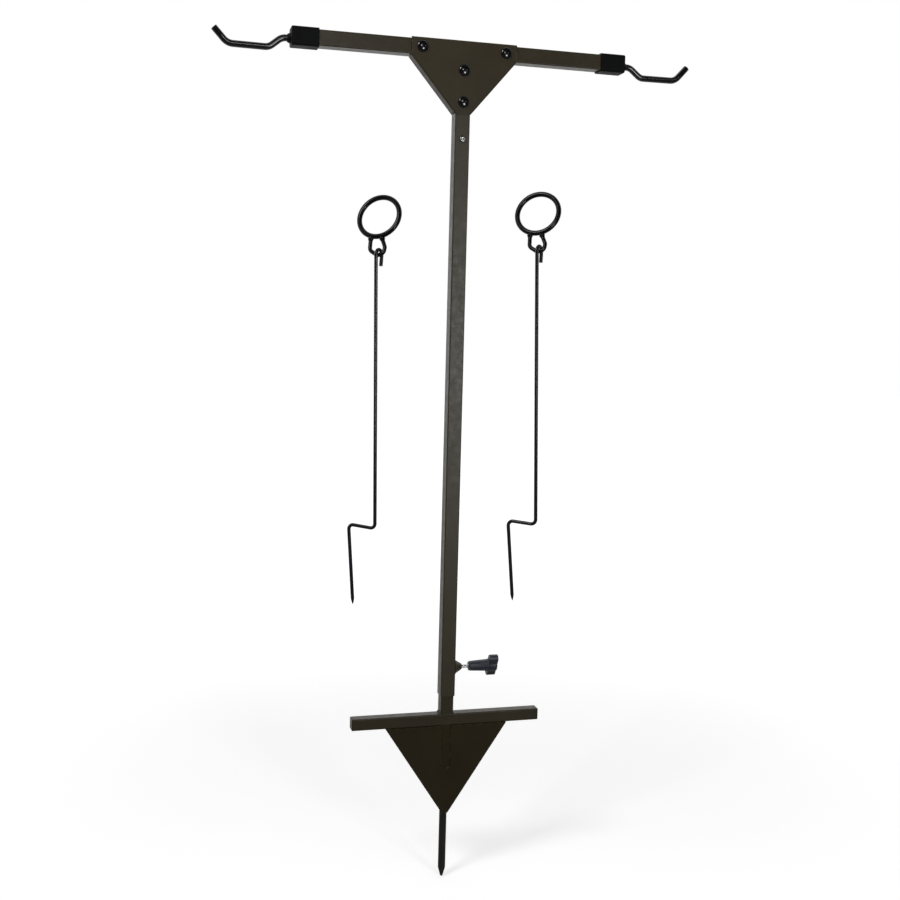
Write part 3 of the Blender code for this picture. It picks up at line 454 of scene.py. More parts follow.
def edge_mask(material, radius, low, high):
    """Close to one along outer edges, broken up by noise."""
    tree = material.node_tree
    bevelled = add_node(tree, "ShaderNodeBevel", {"Radius": radius}, samples=4)
    geometry = add_node(tree, "ShaderNodeNewGeometry")
    normals = {0: bevelled.outputs[0], 1: geometry.outputs["Normal"]}
    dot = add_node(tree, "ShaderNodeVectorMath", normals, operation="DOT_PRODUCT")
    edge = remap(material, dot.outputs["Value"], 1.0, 0.0, low, high)
    patches = surface_noise(material, scale=160.0, detail=4.0)
    return combine(tree, "MULTIPLY", edge, remap(material, patches, 0.0, 1.0, 0.45, 0.62))


def olive_powder_coat(name, shade=1.0, specular=0.32, roughness=0.42, wear_and_highlight_edge=0.0012, wear_and_highlight_colour=RUBBED_OLIVE):
    """Dark olive powder coat: orange-peel grain, faint cloudiness, edges rubbed a little; where the
    edge band is made wide and light, as on the gusset, it is a painted highlight.
    """
    colour = shaded(OLIVE, shade)
    material, shader = start_finish(name, colour, roughness, specular=specular)
    cloud = remap(material, surface_noise(material, scale=14.0, detail=3.0), 0.0, 1.0)
    coat = blend_colour(material, cloud, shaded(colour, 0.86), shaded(colour, 1.16))
    # Lighter edge band: rubbed wear on most coats; the gusset's wider, lighter band is a painted
    # highlight.
    worn = edge_mask(material, wear_and_highlight_edge, low=0.80, high=0.97)
    set_colour(material, shader, blend_colour(material, worn, coat, wear_and_highlight_colour))
    vary_gloss(material, shader, 90.0, 4.0, low=roughness - 0.05, high=roughness + 0.05)
    add_grain(material, shader, surface_noise(material, scale=1500.0), depth=0.00004)
    return material


def gloss_black(name, roughness, rub_colour, specular=0.5):
    """Black enamel with faint scuffs along the wire."""
    material, shader = start_finish(name, ENAMEL_BLACK, roughness, specular=specular)
    marks = surface_noise(material, scale=220.0, detail=5.0, stretch=(0.35, 1.0, 1.0))
    scuff = remap(material, marks, 0.0, 0.14, start=0.62, end=0.78)
    set_colour(material, shader, blend_colour(material, scuff, ENAMEL_BLACK, rub_colour))
    vary_gloss(material, shader, 60.0, 4.0, low=roughness * 0.92, high=roughness * 1.15)
    add_grain(material, shader, surface_noise(material, scale=420.0), depth=0.000005)
    return material


def moulded_rubber(name):
    """Matt black moulded plastic with a fine spark-eroded grain."""
    material, shader = start_finish(name, CAP_BLACK, 0.50, specular=0.09)
    handled = surface_noise(material, scale=75.0, detail=5.0)
    worn = remap(material, handled, 0.0, 0.5, start=0.5, end=0.8)
    set_colour(material, shader, blend_colour(material, worn, CAP_BLACK, WORN_CAP_BLACK))
    vary_gloss(material, shader, 40.0, 3.0, low=0.48, high=0.62)
    add_grain(material, shader, surface_noise(material, scale=2600.0, detail=1.0), depth=0.00003)
    return material


def knob_plastic(name):
    """Blue-black moulded plastic, a little polished by hands."""
    material, shader = start_finish(name, KNOB_BLUE_BLACK, 0.40)
    handled = surface_noise(material, scale=110.0, detail=4.0)
    worn = remap(material, handled, 0.0, 0.6, start=0.5, end=0.8)
    set_colour(material, shader, blend_colour(material, worn, KNOB_BLUE_BLACK, WORN_KNOB_BLACK))
    vary_gloss(material, shader, 55.0, 3.0, low=0.36, high=0.50)
    add_grain(material, shader, surface_noise(material, scale=2200.0), depth=0.00003)
    return material


def zinc_plate(name, shade=1.0):
    """Bright zinc plate with a slight yellow and blue bloom."""
    material, shader = start_finish(name, shaded(ZINC_GREY, shade), 0.27, metallic=1.0)
    bloom = remap(material, surface_noise(material, scale=180.0, detail=3.0), 0.0, 1.0)
    tinted = blend_colour(material, bloom, shaded(ZINC_WARM, shade), shaded(ZINC_COOL, shade))
    set_colour(material, shader, tinted)
    vary_gloss(material, shader, 300.0, 4.0, low=0.22, high=0.36)
    add_grain(material, shader, surface_noise(material, scale=1800.0), depth=0.000012)
    return material


def dark_steel(name, colour, roughness, specular, stretch, scratched):
    """Darkened drawn steel: fine lines along the bar and a few scratches through to the metal."""
    along = (1.0, 1.0, stretch)
    material, shader = start_finish(name, colour, roughness, metallic=0.20, specular=specular)
    drawn = surface_noise(material, scale=700.0, detail=3.0, stretch=along)
    lines = remap(material, drawn, 0.0, 1.0)
    steel = blend_colour(material, lines, shaded(colour, 0.8), shaded(colour, 1.25))
    marks = surface_noise(material, scale=350.0, detail=6.0, stretch=along)
    scratch = remap(material, marks, 0.0, scratched, start=0.66, end=0.75)
    set_colour(material, shader, blend_colour(material, scratch, steel, BARE_STEEL))
    vary_gloss(material, shader, 120.0, 4.0, low=roughness * 0.94, high=roughness * 1.1)
    add_grain(material, shader, drawn, depth=0.000002)
    return material


COAT = olive_powder_coat("olive_powder_coat")
# Foot coat: a darker copy of the olive coat for the step bar, plugs and inner tube. The darkness is
# painted shade for the weaker light low on the stand.
FOOT_COAT_PAINTED_SHADE = olive_powder_coat("olive_powder_coat_foot", shade=0.85, specular=0.22)
ARM_COAT = olive_powder_coat("olive_powder_coat_arms", shade=0.90, specular=0.25, roughness=0.34)
# Gusset coat: its wide, light edge band is a painted highlight along the flange edges, not wear.
GUSSET_COAT = olive_powder_coat(
    "olive_powder_coat_gusset",
    specular=0.18,
    roughness=0.40,
    wear_and_highlight_edge=0.002,
    wear_and_highlight_colour=(0.12, 0.11, 0.095),
)
# Spade coat: a darker copy of the olive coat. The darkness is painted shade for the weaker light low on
# the stand. Its edges get a lighter band.
SPADE_COAT_PAINTED_SHADE = olive_powder_coat(
    "olive_powder_coat_spade",
    shade=0.66,
    specular=0.09,
    wear_and_highlight_edge=0.0015,
    wear_and_highlight_colour=(0.10, 0.09, 0.07),
)
HOOK_ENAMEL = gloss_black("hook_enamel", 0.17, (0.045, 0.044, 0.042))
DOME_ENAMEL = gloss_black("dome_enamel", 0.14, (0.020, 0.020, 0.020))
RING_ENAMEL = gloss_black("ring_enamel", 0.17, (0.060, 0.058, 0.055), specular=0.18)
CAP_PLASTIC = moulded_rubber("cap_plastic")
KNOB_BLACK = knob_plastic("knob_black")
ZINC = zinc_plate("zinc_plate")
SCREW_STEEL = zinc_plate("stop_screw_steel", shade=0.45)
ROD_STEEL = dark_steel(
    "rod_steel",
    (0.004, 0.004, 0.0055),
    roughness=0.24,
    specular=0.42,
    stretch=0.01,
    scratched=0.03,
)
SPIKE_STEEL = dark_steel(
    "spike_steel",
    (0.013, 0.011, 0.009),
    roughness=0.50,
    specular=0.18,
    stretch=0.04,
    scratched=0.15,
)


# Shaping.
def set_shading(bm, angle):
    """Smooth over small angles; large flats keep their own direction up to their edges."""
    for face in bm.faces:
        face.smooth = True
    flats = {face for face in bm.faces if face.calc_area() > LARGE_FLAT}
    for edge in bm.edges:
        turn = edge.calc_face_angle(0.0)
        beside_flat = turn > math.radians(1.0) and any(face in flats for face in edge.link_faces)
        edge.smooth = turn < math.radians(angle) and not beside_flat


def finish_piece(bm, name, body, nodes, material, angle=35.0):
    """Closes a shape into a piece that rides its body and stands for its nodes."""
    bmesh.ops.remove_doubles(bm, verts=bm.verts, dist=2e-7)
    bmesh.ops.recalc_face_normals(bm, faces=bm.faces)
    set_shading(bm, angle)
    mesh = bpy.data.meshes.new(name)
    bm.to_mesh(mesh)
    bm.free()
    mesh.materials.append(material)
    piece = bpy.data.objects.new(name, mesh)
    bpy.context.scene.collection.objects.link(piece)
    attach(piece, body)
    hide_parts(*nodes)
    return piece


def bevel(bm, parts, offset, segments, affect="EDGES"):
    """Rounds edges or corners."""
    bmesh.ops.bevel(
        bm,
        geom=parts,
        offset=offset,
        offset_type="OFFSET",
        segments=segments,
        profile=0.5,
        affect=affect,
        material=-1,
        clamp_overlap=True,
    )


def at_height(parts, level):
    """Edges or faces that lie at one height."""
    return [part for part in parts if all(abs(vert.co.z - level) < 1e-6 for vert in part.verts)]


def rounded_face(bm, width, depth, corner, level, segments=8):
    """One face: a rectangle with rounded corners at a height."""
    before = set(bm.faces)
    verts = bmesh.ops.create_grid(bm, x_segments=1, y_segments=1, size=0.5)["verts"]
    bmesh.ops.scale(bm, verts=verts, vec=(width, depth, 1.0))
    bmesh.ops.translate(bm, verts=verts, vec=(0.0, 0.0, level))
    bevel(bm, verts, corner, segments, "VERTICES")
    return next(face for face in bm.faces if face not in before)


def only_verts(parts):
    return [part for part in parts if isinstance(part, bmesh.types.BMVert)]


def edges_at(verts):
    """Edges that meet the vertices, each once and always in the same order."""
    return list(dict.fromkeys(edge for vert in verts for edge in vert.link_edges))


def raise_faces(bm, faces, height):
    """Extrudes faces along Z into a closed solid."""
    verts = only_verts(bmesh.ops.extrude_face_region(bm, geom=faces)["geom"])
    bmesh.ops.translate(bm, verts=verts, vec=(0.0, 0.0, height))


def sink_pocket(bm, faces, height):
    """Extrudes faces into a pocket and takes away the ones that would close its mouth."""
    raise_faces(bm, faces, height)
    bmesh.ops.delete(bm, geom=[face for face in faces if face.is_valid], context="FACES_ONLY")


def square_tube(side, low, high, matrix=Matrix()):
    """Square tube along Z with rounded corners and softened rims."""
    bm = bmesh.new()
    core = rounded_face(bm, side, side, TUBE_CORNER, low)
    wall = bmesh.ops.inset_region(
        bm,
        faces=[core],
        thickness=TUBE_WALL,
        use_boundary=True,
        use_even_offset=True,
    )["faces"]
    bmesh.ops.delete(bm, geom=[core], context="FACES_ONLY")
    raise_faces(bm, wall, high - low)
    for level in (low, high):
        bevel(bm, at_height(bm.edges, level), TUBE_RIM, 2)
    bmesh.ops.transform(bm, matrix=matrix, verts=bm.verts)
    return bm


def revolve(bm, profile, matrix=Matrix(), steps=64, closed=False):
    """Turns a profile of (radius, height) round Z."""
    before = set(bm.verts)
    verts = [bm.verts.new((radius, 0.0, height)) for radius, height in profile]
    pairs = list(zip(verts, verts[1:]))
    if closed:
        pairs.append((verts[-1], verts[0]))
    edges = [bm.edges.new(pair) for pair in pairs]
    bmesh.ops.spin(
        bm,
        geom=verts + edges,
        cent=(0, 0, 0),
        axis=(0, 0, 1),
        angle=2 * math.pi,
        steps=steps,
        use_merge=True,
    )
    made = [vert for vert in bm.verts if vert not in before]
    pole = [vert for vert in made if math.hypot(vert.co.x, vert.co.y) < 1e-7]
    bmesh.ops.remove_doubles(bm, verts=pole, dist=1e-6)
    made = [vert for vert in bm.verts if vert not in before]
    bmesh.ops.transform(bm, matrix=matrix, verts=made)


def arc(centre, radius, start, end, steps):
    """Points of (radius, height) on an arc between two angles in degrees."""
    points = []
    for step in range(steps + 1):
        angle = math.radians(start + (end - start) * step / steps)
        points.append((centre[0] + radius * math.cos(angle), centre[1] + radius * math.sin(angle)))
    return points


def rounded_path(corners, steps=14):
    """Path through (point, bend radius) corners, each bend an arc tangent to both sides."""
    path = [Vector(corners[0][0])]
    for index in range(1, len(corners) - 1):
        corner, radius = Vector(corners[index][0]), corners[index][1]
        back = (Vector(corners[index - 1][0]) - corner).normalized()
        ahead = (Vector(corners[index + 1][0]) - corner).normalized()
        half = back.angle(ahead) / 2
        centre = corner + (back + ahead).normalized() * (radius / math.sin(half))
        start = corner + back * (radius / math.tan(half)) - centre
        end = corner + ahead * (radius / math.tan(half)) - centre
        sweep = start.angle(end)
        for step in range(steps + 1):
            share = step / steps
            arm = start * math.sin((1 - share) * sweep) + end * math.sin(share * sweep)
            path.append(centre + arm / math.sin(sweep))
    path.append(Vector(corners[-1][0]))
    return path


def path_frames(path, sizes):
    """One placing matrix for each path point, turned with the path and scaled by its size."""
    directions = []
    for index, point in enumerate(path):
        back = point - path[max(index - 1, 0)]
        ahead = path[min(index + 1, len(path) - 1)] - point
        directions.append((back.normalized() + ahead.normalized()).normalized())
    turn = directions[0].to_track_quat("Z", "Y")
    frames = []
    for index, point in enumerate(path):
        if index:
            turn = directions[index - 1].rotation_difference(directions[index]) @ turn
        frames.append(Matrix.LocRotScale(point, turn, Vector((sizes[index], sizes[index], 1.0))))
    return frames


def draw_wire(bm, path, diameter, sides=28, sizes=None, chamfer=0.0):
    """Round wire extruded along a path, closed at both ends."""
    frames = path_frames(path, sizes or [1.0] * len(path))
    circle = bmesh.ops.create_circle(bm, cap_ends=False, radius=diameter / 2, segments=sides)
    verts = circle["verts"]
    bmesh.ops.transform(bm, matrix=frames[0], verts=verts)
    loop = edges_at(verts)
    ends = [loop]
    for before, after in zip(frames, frames[1:]):
        made = bmesh.ops.extrude_edge_only(bm, edges=loop)["geom"]
        verts = only_verts(made)
        fresh = set(verts)
        drawn = [item for item in made if isinstance(item, bmesh.types.BMEdge)]
        loop = [edge for edge in drawn if set(edge.verts) <= fresh]
        bmesh.ops.transform(bm, matrix=after @ before.inverted(), verts=verts)
    ends.append(loop)
    for rim in ends:
        bmesh.ops.edgeloop_fill(bm, edges=rim)
    if chamfer:
        bevel(bm, ends[0] + ends[1], chamfer, 2)


def thread_ridge(bm, radius, pitch, low, high, matrix=Matrix()):
    """Screw thread as one ridge wound round Z."""
    before = set(bm.verts)
    points = [(radius + out * pitch, 0.0, low + along * pitch) for out, along in THREAD_PROFILE]
    face = bm.faces.new([bm.verts.new(point) for point in points])
    turns = max(1, int((high - low) / pitch - THREAD_PROFILE[-1][1]))
    bmesh.ops.spin(
        bm,
        geom=[face],
        cent=(0, 0, 0),
        axis=(0, 0, 1),
        angle=2 * math.pi * turns,
        steps=THREAD_STEPS * turns,
        dvec=(0.0, 0.0, pitch / THREAD_STEPS),
    )
    made = [vert for vert in bm.verts if vert not in before]
    bmesh.ops.transform(bm, matrix=matrix, verts=made)


def weld_bead(bm, path, width, pitch):
    """Row of overlapping scallops along a path, each a little different from the next."""
    for first, second in zip(path, path[1:]):
        run = (second - first).length
        count = max(1, round(run / pitch))
        turn = (second - first).normalized().to_track_quat("Z", "Y")
        for index in range(count):
            place = first.lerp(second, (index + 0.5) / count)
            phase = 7.3 * (index + 31 * first.x + 17 * first.y)
            size = width / 2 * (1.0 + SCALLOP_UNEVENNESS * math.sin(phase))
            scale = Vector((size, size, pitch * SCALLOP_LENGTH))
            matrix = Matrix.LocRotScale(place, turn, scale)
            bmesh.ops.create_icosphere(bm, subdivisions=2, radius=1.0, matrix=matrix)


def dressed_copy(node, rounding):
    """Fine copy of a solid: coplanar faces joined, its sharp edges rounded."""
    bm = bmesh.new()
    bm.from_mesh(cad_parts[node].data)
    bmesh.ops.remove_doubles(bm, verts=bm.verts, dist=2e-6)
    bmesh.ops.dissolve_limit(bm, angle_limit=math.radians(0.5), verts=bm.verts, edges=bm.edges)
    sharp = [edge for edge in bm.edges if edge.calc_face_angle(0.0) > math.radians(50)]
    bevel(bm, sharp, rounding, 2)
    return bm


# Foot: step bar, plugs, spade, spike and inner tube.
def build_step_plug(name, side, seat, place):
    """Plug with a rounded head and a stem inside the bar."""
    low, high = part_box("step_plug_" + name)
    inner, outer = sorted((abs(low.x), abs(high.x)))
    stem_side = side - 2 * TUBE_WALL - 2 * SEAT_GAP
    bm = bmesh.new()
    raise_faces(bm, [rounded_face(bm, side, side, TUBE_CORNER, seat)], outer - seat)
    bevel(bm, at_height(bm.edges, outer), PLUG_EDGE, 5)
    stem = rounded_face(bm, stem_side, stem_side, TUBE_CORNER - TUBE_WALL, inner)
    raise_faces(bm, [stem], seat - inner + PLUG_STEM_SINK)
    bmesh.ops.transform(bm, matrix=place, verts=bm.verts)
    finish_piece(bm, "step_bar_plug_" + name, "base", ["step_plug_" + name], FOOT_COAT_PAINTED_SHADE)


def build_step_bar():
    low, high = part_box("step_bar")
    side = high.z
    middle = Matrix.Translation((0.0, 0.0, side / 2))
    bar = square_tube(side, low.x, high.x, middle @ ALONG_X)
    finish_piece(bar, "step_bar_tube", "base", ["step_bar"], FOOT_COAT_PAINTED_SHADE)
    for name, turn in (("left", ALONG_MINUS_X), ("right", ALONG_X)):
        build_step_plug(name, side, high.x + SEAT_GAP, middle @ turn)


def build_spade():
    """Spade plate with its weld under the step bar, open over the channel."""
    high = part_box("spade_plate")[1]
    blade = dressed_copy("spade_plate", BROKEN_EDGE)
    reach, depth = high.x - SPADE_SEAM_INSET, high.y + SPADE_SEAM_DEPTH
    seam = [Vector((share * reach, depth, high.z - SPADE_SEAM_DROP)) for share in SPADE_SEAM_ENDS]
    weld_bead(blade, seam[:2], *SPADE_BEAD)
    weld_bead(blade, seam[2:], *SPADE_BEAD)
    finish_piece(blade, "spade_blade", "base", ["spade_plate"], SPADE_COAT_PAINTED_SHADE)


def build_spike():
    """Round bar with a blunt point, welded at its top along the plate's side."""
    low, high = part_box("ground_spike")
    radius, point = high.x, low.z + SPIKE_POINT
    profile = [(0.0, high.z), (radius, high.z)]
    profile += [(radius - inside, point + rise) for inside, rise in SPIKE_SHOULDER]
    profile += arc((0.0, low.z + SPIKE_TIP), SPIKE_TIP, 0.0, -84.0, 10) + [(0.0, low.z)]
    bm = bmesh.new()
    revolve(bm, profile, steps=44)
    collar = []
    for step in range(SPIKE_SEAM_RUNS + 1):
        angle = math.radians(SPIKE_SEAM_HALF * (2 * step / SPIKE_SEAM_RUNS - 1))
        across, ahead = radius * math.sin(angle), radius * math.cos(angle)
        collar.append(Vector((across, ahead, high.z - SPIKE_SEAM_DROP)))
    weld_bead(bm, collar, *SPIKE_BEAD)
    finish_piece(bm, "spike_bar", "base", ["ground_spike"], SPIKE_STEEL)


def build_inner_tube():
    """Inner tube with its weld on the step bar."""
    low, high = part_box("inner_tube")
    bm = square_tube(high.x * 2, low.z, high.z)
    half, seam = high.x + SEAT_GAP, low.z + TUBE_SEAM_RISE
    front = high.x - TUBE_SEAM_INSET
    for sign in (-1, 1):
        side_row = [Vector((sign * half, -front, seam)), Vector((sign * half, front, seam))]
        weld_bead(bm, side_row, *TUBE_SIDE_BEAD)
        front_row = [Vector((-half, sign * front, seam)), Vector((half, sign * front, seam))]
        weld_bead(bm, front_row, *TUBE_FRONT_BEAD)
    finish_piece(bm, "mast_inner_tube", "base", ["inner_tube"], FOOT_COAT_PAINTED_SHADE)


# Mast: post, crossbar, gusset and screws.
def build_mast():
    low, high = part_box("post_tube")
    finish_piece(square_tube(high.x * 2, low.z, high.z), "mast_post", "mast", ["post_tube"], COAT)
    low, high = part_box("crossbar")
    middle = Matrix.Translation((0.0, 0.0, (low.z + high.z) / 2))
    bar = square_tube(high.y * 2, low.x, high.x, middle @ ALONG_X)
    finish_piece(bar, "mast_crossbar", "mast", ["crossbar"], ARM_COAT)
    for side in ("front", "back"):
        sheet = dressed_copy("gusset_" + side, GUSSET_EDGE)
        finish_piece(sheet, "gusset_sheet_" + side, "mast", ["gusset_" + side], GUSSET_COAT)


def build_dome_bolt(name, place):
    """Dome-headed bolt with a low rim, threaded from the nut to its end."""
    low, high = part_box("gusset_bolt_" + name)
    head, shank = (high.x - low.x) / 2, BOLT_SHANK / 2
    top, end = -low.y, -high.y
    seat = top - BOLT_HEAD_HEIGHT
    rim = seat + BOLT_RIM
    profile = [(0.0, top)]
    for step in range(1, 15):
        angle = math.radians(90 * step / 15)
        profile.append((head * math.sin(angle), rim + (top - rim) * math.cos(angle)))
    profile += [(head, rim), (head, seat + FINE_EDGE), (head - FINE_EDGE, seat), (shank, seat)]
    profile += [(shank, end + BOLT_CHAMFER), (shank - BOLT_CHAMFER, end), (0.0, end)]
    bm = bmesh.new()
    revolve(bm, profile, place, 56)
    thread_top = -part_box("gusset_nut_" + name)[1].y + BOLT_THREAD_IN_NUT
    thread_ridge(bm, shank + BOLT_THREAD_PROUD, BOLT_PITCH, end + FINE_EDGE, thread_top, place)
    finish_piece(bm, "dome_bolt_" + name, "mast", ["gusset_bolt_" + name], DOME_ENAMEL, 40.0)


def build_washer(name, place):
    """Stamped washer: rolled edge on one face, sharp edge on the other."""
    low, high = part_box("gusset_washer_" + name)
    rim, bore = (high.x - low.x) / 2, BOLT_SHANK / 2 + SEAT_GAP
    near, far = -low.y, -high.y
    inwards, down = WASHER_ROLL
    profile = [(bore, near), (rim - inwards, near), (rim, near - down), (rim, far + FINE_EDGE)]
    profile += [(rim - FINE_EDGE, far), (bore, far)]
    bm = bmesh.new()
    revolve(bm, profile, place, 48, closed=True)
    finish_piece(bm, "flat_washer_" + name, "mast", ["gusset_washer_" + name], ZINC)


def build_nut(name, place):
    """Hexagon nut with its corners chamfered at both faces."""
    low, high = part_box("gusset_nut_" + name)
    flat = (high.z - low.z) / 2
    near, far = -low.y, -high.y
    corner = flat / math.cos(math.radians(30))
    bm = bmesh.new()
    bmesh.ops.create_circle(bm, cap_ends=False, radius=corner, segments=6)
    bmesh.ops.subdivide_edges(bm, edges=bm.edges, cuts=5)
    bmesh.ops.create_circle(bm, cap_ends=False, radius=BOLT_SHANK / 2 + SEAT_GAP, segments=36)
    bmesh.ops.bridge_loops(bm, edges=bm.edges)
    bmesh.ops.translate(bm, verts=bm.verts, vec=(0.0, 0.0, far))
    raise_faces(bm, list(bm.faces), near - far)
    for vert in bm.verts:
        beyond = max(0.0, math.hypot(vert.co.x, vert.co.y) - flat * NUT_CHAMFER_START)
        cut = beyond * NUT_CHAMFER_SLOPE
        vert.co.z += cut if vert.co.z < (near + far) / 2 else -cut
    bmesh.ops.transform(bm, matrix=place, verts=bm.verts)
    finish_piece(bm, "hex_nut_" + name, "mast", ["gusset_nut_" + name], ZINC, 25.0)


def build_gusset_fasteners():
    for name in ("left", "right", "upper", "lower"):
        low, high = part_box("gusset_washer_" + name)
        centre = (low + high) / 2
        place = Matrix.Translation((centre.x, 0.0, centre.z)) @ TO_FRONT
        build_dome_bolt(name, place)
        build_washer(name, place)
        build_nut(name, place)


def build_stop_screw():
    """Pan-head screw with a hexagon socket."""
    low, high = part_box("stop_screw")
    head, shank = (high.x - low.x) / 2, STOP_SHANK / 2
    place = Matrix.Translation((0.0, 0.0, (low.z + high.z) / 2)) @ TO_FRONT
    top, tip = -low.y, -high.y
    seat = top - STOP_HEAD_HEIGHT
    shoulder = (head - STOP_HEAD_ROUND, top - STOP_HEAD_ROUND)
    profile = [(SOCKET_MOUTH, top)] + arc(shoulder, STOP_HEAD_ROUND, 90.0, 0.0, 7)
    profile += [(head, seat + STOP_HEAD_EDGE), (head - STOP_HEAD_EDGE, seat), (shank, seat)]
    profile += [(shank, tip + STOP_TIP_CHAMFER), (shank - STOP_TIP_CHAMFER, tip), (0.0, tip)]
    bm = bmesh.new()
    revolve(bm, profile, steps=48)
    rim = [edge for edge in bm.edges if edge.is_boundary]
    hexagon = bmesh.ops.create_circle(bm, cap_ends=True, radius=SOCKET_MOUTH * SOCKET_SHARE, segments=6)
    corners = hexagon["verts"]
    bmesh.ops.translate(bm, verts=corners, vec=(0.0, 0.0, top - SOCKET_DISH))
    bmesh.ops.bridge_loops(bm, edges=rim + edges_at(corners))
    floor = [face for face in bm.faces if set(face.verts) == set(corners)]
    sink_pocket(bm, floor, -SOCKET_DEPTH)
    bmesh.ops.transform(bm, matrix=place, verts=bm.verts)
    finish_piece(bm, "stop_pan_screw", "mast", ["stop_screw"], SCREW_STEEL)


# Bar ends: caps, inserts and hooks.
def build_cap(name, place, turn, bar_end):
    """Cap with a rounded end, a pocket for the bar and a short cone round the rod."""
    low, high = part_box("end_cap_" + name)
    side = high.y * 2
    mouth, far = (edge - bar_end for edge in sorted((abs(low.x), abs(high.x))))
    face = far - COLLAR[0][1]
    bm = bmesh.new()
    outline = rounded_face(bm, side, side, CAP_CORNER, mouth, 10)
    raise_faces(bm, [outline], face - mouth)
    bevel(bm, at_height(bm.edges, face), CAP_EDGE, 6)
    opening = at_height(bm.faces, mouth)
    bmesh.ops.inset_region(bm, faces=opening, thickness=CAP_WALL, use_even_offset=True)
    sink_pocket(bm, opening, SEAT_GAP - mouth)
    bevel(bm, at_height(bm.edges, mouth), BROKEN_EDGE, 3)
    bmesh.ops.transform(bm, matrix=place @ turn, verts=bm.verts)
    bore = HOOK_ROD / 2 + COLLAR_PLAY
    cone = [(bore + wall, face + height) for wall, height in COLLAR]
    drop = Matrix.Translation((0.0, 0.0, HOOK_CORNERS[0][1]))
    revolve(bm, cone, place @ drop @ turn, 48, closed=True)
    finish_piece(bm, "bar_cap_" + name, "mast", ["end_cap_" + name], CAP_PLASTIC)


def build_insert(name, place, turn, bar_end):
    """Block inside the bar's end that grips the hook's rod."""
    low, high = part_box("hook_insert_" + name)
    side = high.y * 2
    inside = min(abs(low.x), abs(high.x)) - bar_end
    bm = bmesh.new()
    block = rounded_face(bm, side, side, TUBE_CORNER - TUBE_WALL, inside)
    raise_faces(bm, [block], -SEAT_GAP - inside)
    bmesh.ops.transform(bm, matrix=place @ turn, verts=bm.verts)
    finish_piece(bm, "hook_grip_" + name, "mast", ["hook_insert_" + name], SPIKE_STEEL)


def build_hook(name, place, sign):
    corners = [((sign * x, 0.0, z), radius) for x, z, radius in HOOK_CORNERS]
    path = [place @ point for point in rounded_path(corners)]
    bm = bmesh.new()
    draw_wire(bm, path, HOOK_ROD, 36, chamfer=HOOK_END_EDGE)
    finish_piece(bm, "bar_hook_" + name, "mast", ["hook_" + name], HOOK_ENAMEL)


def build_bar_end(name, sign, turn):
    low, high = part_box("crossbar")
    place = Matrix.Translation((sign * high.x, 0.0, (low.z + high.z) / 2))
    build_cap(name, place, turn, high.x)
    build_insert(name, place, turn, high.x)
    build_hook(name, place, sign)


# Clamp: boss, screw and knob.
def build_boss(place, height):
    """Conical boss with a weld round its foot."""
    low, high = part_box("clamp_boss")
    foot, bore = (high.z - low.z) / 2, CLAMP_THREAD / 2 + SEAT_GAP
    near, far = low.x, high.x
    profile = [(bore, near), (foot, near)]
    profile += [(foot - inwards, near + rise) for inwards, rise in BOSS_SKIRT]
    profile += [(BOSS_TIP_RADIUS + outwards, far - drop) for outwards, drop in BOSS_NOSE]
    profile += [(bore, far)]
    bm = bmesh.new()
    revolve(bm, profile, place, 56, closed=True)
    rim = []
    for step in range(BOSS_SEAM_SIDES + 1):
        angle = 2 * math.pi * step / BOSS_SEAM_SIDES
        across, up = foot * math.cos(angle), foot * math.sin(angle)
        rim.append(Vector((near + BOSS_SEAM_RISE, across, height + up)))
    weld_bead(bm, rim, *BOSS_BEAD)
    finish_piece(bm, "clamp_boss_cone", "mast", ["clamp_boss"], COAT)


def build_clamp_screw(place):
    """Threaded screw with a tapered tip."""
    low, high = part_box("clamp_screw")
    radius, taper = CLAMP_THREAD / 2, low.x + CLAMP_POINT
    core = radius - CLAMP_THREAD_DEPTH
    profile = [(0.0, high.x), (core, high.x), (core, taper), (CLAMP_POINT_RADIUS, low.x), (0.0, low.x)]
    bm = bmesh.new()
    revolve(bm, profile, place, 32)
    thread_ridge(bm, radius, CLAMP_PITCH, taper, high.x - CLAMP_THREAD_END, place)
    finish_piece(bm, "clamp_thread", "clamp_screw", ["clamp_screw"], ZINC, 20.0)


def turn_knob_hub(bm, base, head, crown):
    """Hub and middle of the knob, its cap set in a groove, with shallow ribs round the hub."""
    screw_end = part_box("clamp_screw")[1].x
    bore, middle = CLAMP_THREAD / 2 + SEAT_GAP, KNOB_MIDDLE / 2
    rounding = KNOB_CROWN_ROUND
    profile = [(bore, base)]
    profile += [(radius, base + rise) for radius, rise in KNOB_NECK]
    profile += [(radius, head + rise) for radius, rise in KNOB_SHOULDER]
    profile += [(middle, crown - rounding)]
    profile += arc((middle - rounding, crown - rounding), rounding, 15.0, 90.0, 6)
    profile += [(radius, crown + rise) for radius, rise in KNOB_GROOVE]
    profile += [(0.0, screw_end + KNOB_SCREW_ROOM), (bore, screw_end + SEAT_GAP)]
    revolve(bm, profile, steps=64, closed=True)
    foot_radius, foot_rise = KNOB_RIB_FOOT
    for step in range(KNOB_RIBS):
        angle = 2 * math.pi * step / KNOB_RIBS
        across = Vector((math.cos(angle), math.sin(angle), 0.0))
        foot = across * foot_radius + Vector((0.0, 0.0, base + foot_rise))
        top = across * KNOB_SHOULDER[0][0] + Vector((0.0, 0.0, head))
        draw_wire(bm, [foot, top], KNOB_RIB_WIRE, 10)


